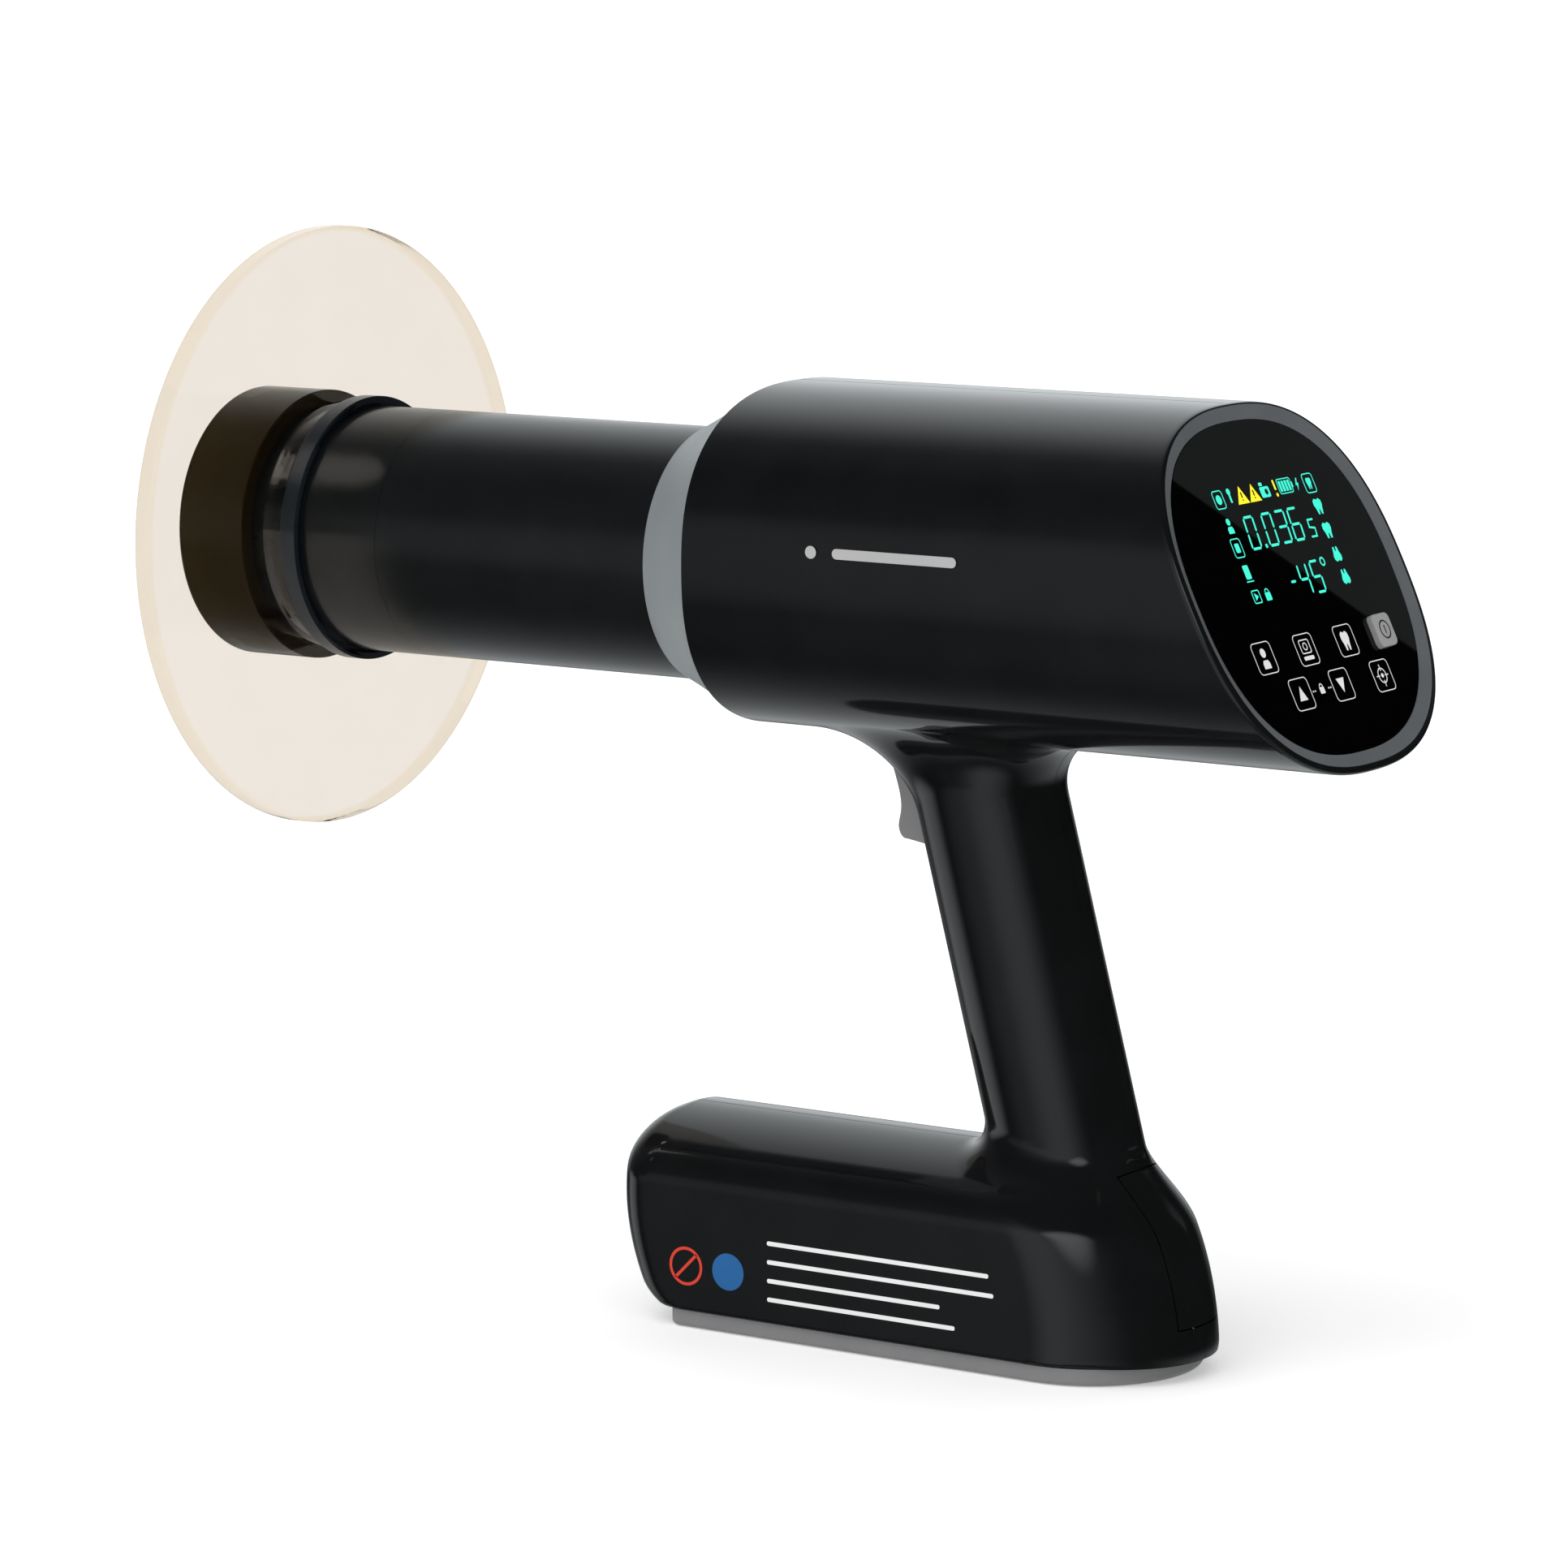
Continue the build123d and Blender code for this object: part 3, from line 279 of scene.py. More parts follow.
def amber(name, colour, edge, rough, edge_from, clear=1.0):
    """Tinted acrylic that turns to the edge colour edge_from millimetres from the axis. On the shield that
    darker edge colour is painted shade, standing in for the longer path of light through the acrylic at its
    rim.
    """
    sockets = {"IOR": 1.03, "Transmission_Weight": clear, "Coat_Weight": 0.6, "Coat_Roughness": 0.04}
    material = finish(name, colour, rough, mottle=0.01, relief=0.001, grain=300, **sockets)
    nodes, links = material.node_tree.nodes, material.node_tree.links
    place = nodes.new("ShaderNodeTexCoord")
    shift = nodes.new("ShaderNodeVectorMath")
    shift.operation = "MULTIPLY_ADD"
    links.new(place.outputs["Object"], shift.inputs[0])
    shift.inputs[1].default_value = (0, 1, 1)
    shift.inputs[2].default_value = (0, 0, -AXIS_Z * MM)
    radius = nodes.new("ShaderNodeVectorMath")
    radius.operation = "LENGTH"
    links.new(shift.outputs[0], radius.inputs[0])
    share = spread(nodes, links, radius.outputs["Value"], 0, 1, edge_from * MM, (edge_from + 1.2) * MM)
    middle, outer, blended = colour_mix(nodes, links, share)
    base = nodes["Principled BSDF"].inputs["Base Color"]
    links.new(base.links[0].from_socket, middle)
    outer.default_value = (*edge, 1)
    links.new(blended, base)
    return material


def make_materials():
    black, brown = (0.0062, 0.0066, 0.0070), (0.036, 0.027, 0.013)
    return {
        "housing_black": finish("housing_black", black, 0.08, relief=0.0015, grain=900, polish=0.2),
        "tube_black": finish("tube_black", (0.0068, 0.0074, 0.0080), 0.2, relief=0.002, grain=1100),
        "ring_blue_black": finish("ring_blue_black", (0.012, 0.016, 0.020), 0.22, relief=0.002),
        "trim_grey": finish("trim_grey", (0.225, 0.25, 0.262), 0.42, relief=0.003, mottle=0.04),
        "bevel_grey": finish("bevel_grey", (0.115, 0.125, 0.132), 0.36, relief=0.003, mottle=0.05),
        "grey_plastic": finish("grey_plastic", (0.21, 0.21, 0.215), 0.45, relief=0.006, mottle=0.05),
        "display_glass": finish("display_glass", (0.0008, 0.0008, 0.0009), 0.008, relief=0, polish=0.3),
        "lcd": finish("lcd", (0.01, 0.012, 0.012), 0.2),
        "gasket": finish("gasket", (0.012, 0.012, 0.012), 0.7, relief=0.01),
        "button": finish("button", (0.34, 0.34, 0.345), 0.38, relief=0.004, mottle=0.04),
        "switch_black": finish("switch_black", (0.01, 0.01, 0.01), 0.4),
        "switch_white": finish("switch_white", (0.7, 0.7, 0.68), 0.4),
        "board_green": finish("board_green", (0.01, 0.09, 0.035), 0.35, grain=700, mottle=0.3),
        "steel": finish("steel", (0.55, 0.55, 0.56), 0.28, 1.0, mottle=0.06),
        "head_aluminium": finish("head_aluminium", (0.72, 0.73, 0.74), 0.35, 1.0, mottle=0.05),
        "lead": finish("lead", (0.22, 0.22, 0.24), 0.5, 1.0, grain=500, relief=0.02),
        "clear_window": finish("clear_window", (0.85, 0.85, 0.85), 0.1, Transmission_Weight=0.9),
        "tube_glass": finish("tube_glass", (0.9, 0.92, 0.9), 0.03, Transmission_Weight=1.0),
        "copper": finish("copper", (0.85, 0.42, 0.25), 0.3, 1.0),
        "nickel": finish("nickel", (0.66, 0.62, 0.55), 0.25, 1.0),
        "core_iron": finish("core_iron", (0.14, 0.14, 0.15), 0.45, 1.0),
        "cell_wrap": finish("cell_wrap", (0.02, 0.12, 0.35), 0.3),
        "cable_black": finish("cable_black", (0.015, 0.015, 0.015), 0.5),
        "ribbon": finish("ribbon", (0.6, 0.5, 0.3), 0.4),
        # the shield's darker rim colour is painted shade, for light's longer path through the acrylic at
        # its edge
        "shield_amber": amber("shield_amber", (0.74, 0.685, 0.62), (0.70, 0.60, 0.46), 0.02, 79.4),
        "collar_brown": amber("collar_brown", brown, (0.040, 0.030, 0.014), 0.12, 36.0, 0.25),
        "mark_grey": finish("mark_grey", (0.42, 0.42, 0.42), 0.5, relief=0.002, mottle=0.03),
        "white_print": finish("white_print", (0.82, 0.82, 0.82), 0.5, relief=0.002, mottle=0.03),
        "key_white": finish("key_white", (0.86, 0.86, 0.86), 0.4, relief=0.001, mottle=0.02),
        "red_print": finish("red_print", (0.68, 0.035, 0.012), 0.45, mottle=0.05),
        "blue_print": finish("blue_print", (0.003, 0.11, 0.33), 0.45, mottle=0.05),
        "teal_light": glow("teal_light", (0.05, 0.85, 0.62), 0.95),
        "yellow_light": glow("yellow_light", (1.0, 0.86, 0.02), 0.95),
        "dark_print": finish("dark_print", (0.02, 0.02, 0.02), 0.5),
    }


# ---------------------------------------------------------------- helpers for pieces


def add_object(name, mesh):
    thing = bpy.data.objects.new(name, mesh)
    bpy.context.scene.collection.objects.link(thing)
    return thing


def dress(thing, material, body, slot, *replaced):
    """Gives a piece its material and body, and hides the CAD nodes that it stands for. The slot argument is
    not used.
    """
    thing.data.materials.append(materials[material])
    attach(thing, body)
    if replaced:
        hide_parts(*replaced)
    return thing


def solid(name, verts, faces, crease=35, normals=None):
    """Object from millimetre points, smooth up to the crease angle or with the given corner normals."""
    mesh = bpy.data.meshes.new(name)
    mesh.from_pydata((np.asarray(verts, float) * MM).tolist(), [], faces)
    if normals is None:
        bm = bmesh.new()
        bm.from_mesh(mesh)
        bmesh.ops.recalc_face_normals(bm, faces=bm.faces)
        bm.to_mesh(mesh)
        bm.free()
    mesh.polygons.foreach_set("use_smooth", [True] * len(mesh.polygons))
    if normals is None:
        mesh.set_sharp_from_angle(angle=radians(crease))
    else:
        mesh.normals_split_custom_set(normals)
    return add_object(name, mesh)


def loops_to_solid(name, loops, crease=35):
    """Closed band through rings of points; the last ring joins the first."""
    count = len(loops[0])
    rows = len(loops)
    faces = []
    for i in range(rows):
        for j in range(count):
            k, n = (j + 1) % count, (i + 1) % rows
            faces.append((i * count + j, i * count + k, n * count + k, n * count + j))
    return solid(name, np.concatenate(loops), faces, crease)


# ---------------------------------------------------------------- housing surface


def oval_distance(u, v, w, h, n):
    """First-order distance to a superellipse."""
    au, av = np.abs(u) / w + 1e-9, np.abs(v) / h + 1e-9
    g = (au**n + av**n) ** (1 / n)
    slope = np.sqrt((au ** (n - 1) / w) ** 2 + (av ** (n - 1) / h) ** 2) * g ** (1 - n)
    return (g - 1) / slope


def round_union(a, b, r):
    """Both shapes together, with a fillet of radius r where they meet."""
    return np.maximum(r, np.minimum(a, b)) - np.hypot(np.maximum(r - a, 0), np.maximum(r - b, 0))


def round_cut(a, b, r):
    """What the shapes share, with their common edge rounded to radius r."""
    return np.minimum(-r, np.maximum(a, b)) + np.hypot(np.maximum(r + a, 0), np.maximum(r + b, 0))


def smoothstep(value, low, high):
    t = np.clip((value - low) / (high - low), 0, 1)
    return t * t * (3 - 2 * t)


def base_field(x, y, z):
    """The base alone: a bar with upright sides, a low arched roof, a half-round rear whose wall leans
    forward as it rises, and a bull nose. The distances are rough, and zero on the surface."""
    rear = REAR_X - REAR_R + np.sqrt(np.clip(REAR_R**2 - (z - REAR_Z) ** 2, 100, None))
    past = np.maximum(x - (rear - BASE_W), 0)
    high = np.clip((z - NOSE_Z) / (BASE_CROWN - NOSE_Z), 0, 0.98)
    low = np.clip(FOOT_Z - z, 0, FOOT_R - 0.1)
    front = BASE_FRONT + NOSE_CURVE * np.clip(NOSE_Z - z, 0, None) ** 2
    front = front + FOOT_R - np.sqrt(FOOT_R**2 - low**2)
    front = front + NOSE_RAKE * (1 - np.sqrt(1 - high**2))
    ahead = np.maximum(front + NOSE_DEPTH - x, 0) * BASE_W / NOSE_DEPTH
    out = (np.hypot(past, y) ** NOSE_N + ahead**NOSE_N) ** (1 / NOSE_N)
    side = (out - BASE_W) * np.where(ahead > 0, NOSE_SCALE, 1.0)
    roof = (z - BASE_CROWN + BASE_SAG * (np.hypot(past, y) / BASE_W) ** 2) * ROOF_SCALE
    base = round_cut(side, roof, BASE_SHOULDER)
    return round_cut(base, PLATE - z, BOTTOM_EDGE + BOTTOM_GAIN * smoothstep(x, 40, 72))


def housing_field(x, y, z):
    """Signed distance, roughly, to the outside of the housing: body, grip and base in one."""
    body = oval_distance(y, z - BODY_Z, BODY_W, BODY_H, BODY_N)
    u = x - (GRIP_X - (z - GRIP_Z) * GRIP_LEAN)
    grip = oval_distance(u, y, GRIP_DEPTH, GRIP_W, GRIP_N) * cos(GRIP_TILT)
    grip = np.maximum(grip, z - GRIP_TOP)
    base = base_field(x, y, z)
    reach = np.sqrt((u / GRIP_DEPTH) ** 2 + (y / GRIP_W) ** 2) + 1e-6
    fore = np.clip(-u / GRIP_DEPTH / reach, 0, 1) ** 2
    aft = np.clip(u / GRIP_DEPTH / reach, 0, 1) ** 2
    radius, in_front, behind = LOWER_BLEND
    lower = round_union(base, grip, radius + in_front * fore + behind * aft)
    radius, in_front, behind = UPPER_BLEND
    whole = round_union(lower, body, radius + in_front * fore + behind * aft)
    length, width, depth = SCOOP_SIZE
    scoop = np.sqrt(((x - SCOOP_X) / length) ** 2 + (y / width) ** 2 + ((z - SCOOP_Z) / depth) ** 2)
    return round_cut(whole, (1 - scoop) * depth, SCOOP_EDGE)


def field_slope(points, step=0.02):
    """Gradient of the housing's distance at the points."""
    out = np.empty_like(points)
    for k in range(3):
        shift = np.zeros(3)
        shift[k] = step
        out[:, k] = housing_field(*(points + shift).T) - housing_field(*(points - shift).T)
    return out / (2 * step)


def surface_normals(points):
    slope = field_slope(points)
    return slope / np.linalg.norm(slope, axis=1)[:, None]


def on_surface(points, rounds=4):
    """Moves the points onto the housing's surface."""
    for _ in range(rounds):
        slope = field_slope(points)
        size = np.maximum((slope**2).sum(1), 0.05)
        move = np.clip(housing_field(*points.T) / size, -1.0, 1.0)
        points = points - slope * move[:, None]
    return points


def surface_net():
    """Quad mesh of the left half of the housing surface: points and faces."""
    low, high = np.array(NET_LOW), np.array(NET_HIGH)
    count = np.ceil((high - low) / CELL).astype(int) + 1
    axes = [low[k] + CELL * np.arange(count[k]) for k in range(3)]
    value = housing_field(*np.meshgrid(*axes, indexing="ij"))
    inside = value < 0
    total = np.zeros(tuple(count - 1) + (3,))
    hits = np.zeros(tuple(count - 1))
    corners = [(i, j, k) for i in (0, 1) for j in (0, 1) for k in (0, 1)]

    def at(corner):
        return value[tuple(slice(c, c + n - 1) for c, n in zip(corner, count))]

    for start in corners:
        for axis in range(3):
            if start[axis]:
                continue
            end = tuple(c + (axis == k) for k, c in enumerate(start))
            first, second = at(start), at(end)
            crossed = (first < 0) != (second < 0)
            t = np.where(crossed, first / np.where(crossed, first - second, 1), 0)
            hits += crossed
            for k in range(3):
                total[..., k] += crossed * (start[k] + (t if k == axis else 0))
    used = hits > 0
    index = -np.ones(used.shape, int)
    index[used] = np.arange(used.sum())
    points = low + CELL * (np.argwhere(used) + total[used] / hits[used][:, None])
    points = on_surface(points)
    quads = []
    for axis in range(3):
        p, q = [k for k in range(3) if k != axis]
        window = [slice(1, n - 1) for n in count]
        window[axis] = slice(0, count[axis] - 1)
        here = inside[tuple(window)]
        window[axis] = slice(1, count[axis])
        place = np.argwhere(here != inside[tuple(window)])
        offset = np.ones(3, int)
        offset[axis] = 0
        place = place + offset
        around = []
        for dp, dq in ((0, 0), (1, 0), (1, 1), (0, 1)):
            cell = place.copy()
            cell[:, p] -= dp
            cell[:, q] -= dq
            around.append(index[tuple(cell.T)])
        quads.append(np.stack(around, 1))
    quads = np.concatenate(quads)
    corner = points[quads]
    facing = np.cross(corner[:, 2] - corner[:, 0], corner[:, 3] - corner[:, 1])
    wrong = (facing * field_slope(corner.mean(1))).sum(1) < 0
    quads[wrong] = quads[wrong][:, ::-1]
    return points, quads


def new_skin(points, quads, keep=None):
    """Working mesh of the surface, in millimetres; keep picks faces by their middles."""
    if keep is not None:
        quads = quads[keep(points[quads].mean(1))]
    mesh = bpy.data.meshes.new("skin")
    mesh.from_pydata(points.tolist(), [], quads.tolist())
    bm = bmesh.new()
    bm.from_mesh(mesh)
    bpy.data.meshes.remove(mesh)
    bmesh.ops.delete(bm, geom=[v for v in bm.verts if not v.link_faces], context="VERTS")
    return bm


def near_geometry(bm, near):
    """Faces that pass the test, with their edges and vertices."""
    faces = [f for f in bm.faces if near(f.calc_center_median())]
    geometry = set(faces)
    for face in faces:
        geometry.update(face.edges)
        geometry.update(face.verts)
    return list(geometry)


def cut(bm, origin, normal, near, drop=False):
    """Cuts the mesh along a plane; drop removes what lies on the normal's side."""
    bmesh.ops.bisect_plane(
        bm, geom=near_geometry(bm, near), dist=1e-4, plane_co=origin, plane_no=normal, clear_outer=drop
    )


def remove(bm, test):
    """Deletes the faces whose middles pass the test."""
    doomed = [f for f in bm.faces if test(f.calc_center_median())]
    bmesh.ops.delete(bm, geom=doomed, context="FACES")


def punch(bm, x, z, radius, sides=20):
    """Cuts a round hole across the skin."""
    middle = Vector((x, 0, z))
    geometry = near_geometry(bm, lambda p: abs(p.x - x) < radius + 2.5 and abs(p.z - z) < radius + 2.5)
    for k in range(sides):
        angle = 2 * pi * (k + 0.5) / sides
        way = Vector((cos(angle), 0, sin(angle)))
        done = bmesh.ops.bisect_plane(
            bm, geom=geometry, dist=1e-4, plane_co=middle + way * radius, plane_no=way
        )
        geometry = done["geom"]
    remove(bm, lambda p: hypot(p.x - x, p.z - z) < radius)


def clear_window(outer, inner, normal):
    """Keeps the wall's inside out of the port cover's way: straight at its sides, thin at the sill."""
    x, y, z = outer.T
    edge = -COVER_W - COVER_GAP
    side = (y < edge + NEAR) & (y > edge - 3) & (x > 55) & (z < 60)
    inner[side, 1] = np.minimum(inner[side, 1], edge)
    sill = np.abs(z - (PIN_Z - COVER_DROP - COVER_GAP)) < NEAR
    sill &= (x > 70) & (np.abs(y) < COVER_W + 1)
    inner[sill] = outer[sill] - normal[sill] * SILL


def closed_shell(name, bm, thickness, mirror=False):
    """Closed wall from an open outer skin, shaded by the exact surface normals, seam edge eased."""
    bmesh.ops.dissolve_degenerate(bm, dist=2e-3, edges=bm.edges)
    bmesh.ops.delete(bm, geom=[v for v in bm.verts if not v.link_faces], context="VERTS")
    bm.verts.index_update()
    outer = np.array([v.co[:] for v in bm.verts])
    faces = [[v.index for v in f.verts] for f in bm.faces]
    border = []
    for face in bm.faces:
        for loop in face.loops:
            if len(loop.edge.link_faces) == 1:
                border.append((loop.vert.index, loop.link_loop_next.vert.index))
    bm.free()
    normal = surface_normals(outer)
    inner = outer - normal * thickness
    clear_window(outer, inner, normal)
    at_seam = np.abs(outer[:, 1]) < SEAM + NEAR
    outer = outer - normal * (SEAM_EASE * at_seam)[:, None]
    count = len(outer)
    verts = np.concatenate([outer, inner])
    if mirror:
        verts, normal = verts * (1, -1, 1), normal * (1, -1, 1)
    inside = [[count + i for i in face[::-1]] for face in faces]
    walls = [[b, a, count + a, count + b] for a, b in border]
    every = faces + inside + walls
    if mirror:
        every = [face[::-1] for face in every]
    corner = []
    for number, face in enumerate(every):
        if number < len(faces):
            corner.extend(normal[face])
        elif number < 2 * len(faces):
            corner.extend(-normal[[i - count for i in face]])
        else:
            p = verts[face]
            way = np.cross(p[2] - p[0], p[3] - p[1])
            corner.extend([way / max(np.linalg.norm(way), 1e-9)] * 4)
    return solid(name, verts, every, normals=[tuple(c) for c in corner])


def in_cover(p, grow=0.0):
    """True inside the port cover's outline."""
    if p.x < 56 or abs(p.y) > COVER_W + grow or p.z < PIN_Z - COVER_DROP - grow:
        return False
    return (p - Vector((PIN_X, 0, PIN_Z))).dot(COVER_TOP_WAY) < COVER_REACH + grow and p.z < 60


def cover_cuts(bm, grow):
    """Cuts the left half's skin along the port cover's outline."""

    def near(p):
        return p.x > 50 and p.z < 60 and abs(p.y) < 14

    cut(bm, (0, -COVER_W - grow, 0), (0, -1, 0), near)
    cut(bm, (0, 0, PIN_Z - COVER_DROP - grow), (0, 0, -1), near)
    cut(bm, Vector((PIN_X, 0, PIN_Z)) + COVER_TOP_WAY * (COVER_REACH + grow), COVER_TOP_WAY, near)


def cover_barrel(steps=40):
    """Hinge barrel under the port cover, bored for its pin."""
    end, ease = COVER_W, 0.3
    profile = [(-end, PIN_BORE), (-end, PIN_BARREL - ease), (ease - end, PIN_BARREL)]
    profile += [(-y, r) for y, r in profile[::-1]]
    verts = []
    for k in range(steps):
        turn = 2 * pi * k / steps
        verts += [(PIN_X + r * cos(turn), y, PIN_Z + r * sin(turn)) for y, r in profile]
    size = len(profile)
    faces = []
    for k in range(steps):
        for i in range(size):
            a, b = k * size + i, k * size + (i + 1) % size
            c, d = [(n + size) % (steps * size) for n in (b, a)]
            faces.append((a, b, c, d))
    barrel = solid("port_cover_barrel", verts, faces)
    dress(barrel, "housing_black", "port_cover", "housing_black")


def at_slot(p):
    """True for the grip's front round the trigger slot."""
    return 120 < p.z < 170 and p.x < GRIP_X - (p.z - GRIP_Z) * GRIP_LEAN and p.y > -16


def make_half(name, node, points, quads, mirror):
    """Half of the housing, cut at the seam, the ends, the trigger slot and the cover's window.

    The mirrored half is the right one, which has the screw wells.
    """
    bm = new_skin(points, quads)
    cut(bm, (0, -SEAM, 0), (0, 1, 0), lambda p: p.y > -2, drop=True)
    cut(bm, (0, -SEAM_EDGE, 0), (0, 1, 0), lambda p: p.y > -2)
    cut(bm, (BODY_FRONT, 0, 0), (-1, 0, 0), lambda p: p.z > 150, drop=True)
    edge = SCREEN_O + SCREEN_N * (RIM_PROUD - EDGE)
    cut(bm, edge, SCREEN_N, lambda p: p.z > 140, drop=True)
    cut(bm, (0, 0, PLATE + 0.1), (0, 0, -1), lambda p: p.z < 10, drop=True)
    cut(bm, (0, -SLOT_W, 0), (0, -1, 0), at_slot)
    cut(bm, (0, 0, SLOT_LOW), (0, 0, -1), at_slot)
    cut(bm, (0, 0, SLOT_HIGH), (0, 0, 1), at_slot)
    remove(bm, lambda p: at_slot(p) and p.y > -SLOT_W and SLOT_LOW < p.z < SLOT_HIGH)
    cover_cuts(bm, COVER_GAP)
    remove(bm, lambda p: in_cover(p, COVER_GAP))
    if mirror:
        for x, z in SCREW_PLACES:
            punch(bm, x, z, POCKET_R)
    shell = closed_shell(name, bm, SKIN, mirror)
    dress(shell, "housing_black", "housing", "housing_black", node)


def make_cover(points, quads):
    """The port cover, from the same surface as the housing round it."""
    bm = new_skin(points, quads, lambda p: (p[:, 0] > 50) & (p[:, 2] < 62) & (p[:, 1] > -14))
    cut(bm, (0, 0, 0), (0, 1, 0), lambda p: True, drop=True)
    cover_cuts(bm, 0)
    remove(bm, lambda p: not in_cover(p))
    twin = bmesh.ops.duplicate(bm, geom=bm.verts[:] + bm.edges[:] + bm.faces[:])["geom"]
    bmesh.ops.scale(bm, vec=(1, -1, 1), verts=[g for g in twin if isinstance(g, bmesh.types.BMVert)])
    bmesh.ops.reverse_faces(bm, faces=[g for g in twin if isinstance(g, bmesh.types.BMFace)])
    bmesh.ops.remove_doubles(bm, verts=bm.verts, dist=1e-3)
    cover = closed_shell("port_cover_skin", bm, COVER_SKIN)
    dress(cover, "housing_black", "port_cover", "housing_black", "port_cover")


def make_housings():
    points, quads = surface_net()
    make_half("left_shell", "left_housing", points, quads, False)
    make_half("right_shell", "right_housing", points, quads, True)
    make_cover(points, quads)
    cover_barrel()


def screw_wells():
    """Sleeves from the right half's skin down to the screw heads."""
    verts, faces = [], []
    sides = 24
    for (x, z), seat in SCREW_PLACES.items():
        depth = np.arange(seat, 56.0, 0.1)
        outside = POCKET_R + POCKET_WALL
        for radius, is_top in ((POCKET_R, True), (POCKET_R, False), (outside, False), (outside, True)):
            for k in range(sides):
                angle = 2 * pi * k / sides
                px, pz = x + radius * cos(angle), z + radius * sin(angle)
                value = housing_field(np.full_like(depth, px), depth, np.full_like(depth, pz))
                top = depth[np.argmax(value > -POCKET_UNDER)]
                verts.append((px, top if is_top else seat, pz))
        first = len(verts) - 4 * sides
        for i in range(4):
            for k in range(sides):
                n, m = (k + 1) % sides, (i + 1) % 4
                ring = (i * sides + k, i * sides + n, m * sides + n, m * sides + k)
                faces.append([first + v for v in ring])
    dress(solid("screw_wells", verts, faces), "housing_black", "housing", "housing_black")


# ---------------------------------------------------------------- screen rim


def oval_point(angle, w, h, n):
    """Point of a superellipse in the direction of the angle."""
    c, s = np.cos(angle), np.sin(angle)
    reach = (np.abs(c / w) ** n + np.abs(s / h) ** n) ** (-1 / n)
    return reach * c, reach * s


def on_screen(across, up, out):
    """Points given by their distances across, up and out of the screen's plane."""
    return SCREEN_O + np.outer(across, ACROSS) + np.outer(up, SCREEN_UP) + np.outer(out, SCREEN_N)


def screen_rim():
    """Rounded black edge of the body round the screen, and the grey bevel inside it."""
    angle = np.linspace(0, 2 * pi, 256, endpoint=False)
    y, up = oval_point(angle, BODY_W, BODY_H, BODY_N)
    z = up + BODY_Z
    mean = 48  # about the oval's mean radius

    def body_at(level, inset=0.0):
        """Loop round the body's oval, level above the screen's plane."""
        share = 1 - inset / mean
        x = SCREEN_X + (level - sin(LEAN) * (BODY_Z + up * share - AXIS_Z)) / cos(LEAN)
        return np.stack([x, y * share, BODY_Z + up * share], 1)

    def glass_at(grow, level):
        """Loop round the glass, grow outside it, with its points beside those of the body's loop."""
        local_y, local_up = y, (z - AXIS_Z) / cos(LEAN) - GLASS_UP
        turn = np.arctan2(local_up, local_y)
        a, b = oval_point(turn, GLASS_W + grow, GLASS_H + grow, BODY_N)
        return on_screen(a, b + GLASS_UP, np.full(len(a), level))

    start, corner, top = body_at(RIM_PROUD - EDGE), body_at(RIM_PROUD), glass_at(BEVEL, RIM_PROUD)
    gap = np.linalg.norm(corner - top, axis=1)[:, None]
    end = corner + (top - corner) * np.minimum(0.75, EDGE / gap)
    loops = []
    for t in np.linspace(0, 1, 9):
        loops.append(start * (1 - t) ** 2 + corner * 2 * t * (1 - t) + end * t * t)
    loops.append(top)
    loops.append(glass_at(BEVEL - 0.05, RIM_PROUD - 1.6))
    loops.append(body_at(RIM_PROUD - EDGE - 0.6, 1.2))
    loops.append(body_at(RIM_PROUD - EDGE, 0.8))
    dress(loops_to_solid("screen_rim", loops, 60), "housing_black", "housing", "housing_black")
    low, high = glass_at(GLASS_GAP, 0.0), glass_at(BEVEL - 0.06, RIM_PROUD - 0.02)
    bevel = [glass_at(GLASS_GAP, -1.9), glass_at(GLASS_GAP, -0.12), glass_at(GLASS_GAP + 0.1, 0.02)]
    bevel += [low + (high - low) * t for t in (0.06, 0.5, 0.96)]
    bevel += [glass_at(BEVEL - 0.06, RIM_PROUD - 0.14), glass_at(BEVEL - 0.06, -1.9)]
    dress(loops_to_solid("screen_surround", bevel, 30), "bevel_grey", "housing", "trim_grey")


# ---------------------------------------------------------------- printed and lit marks


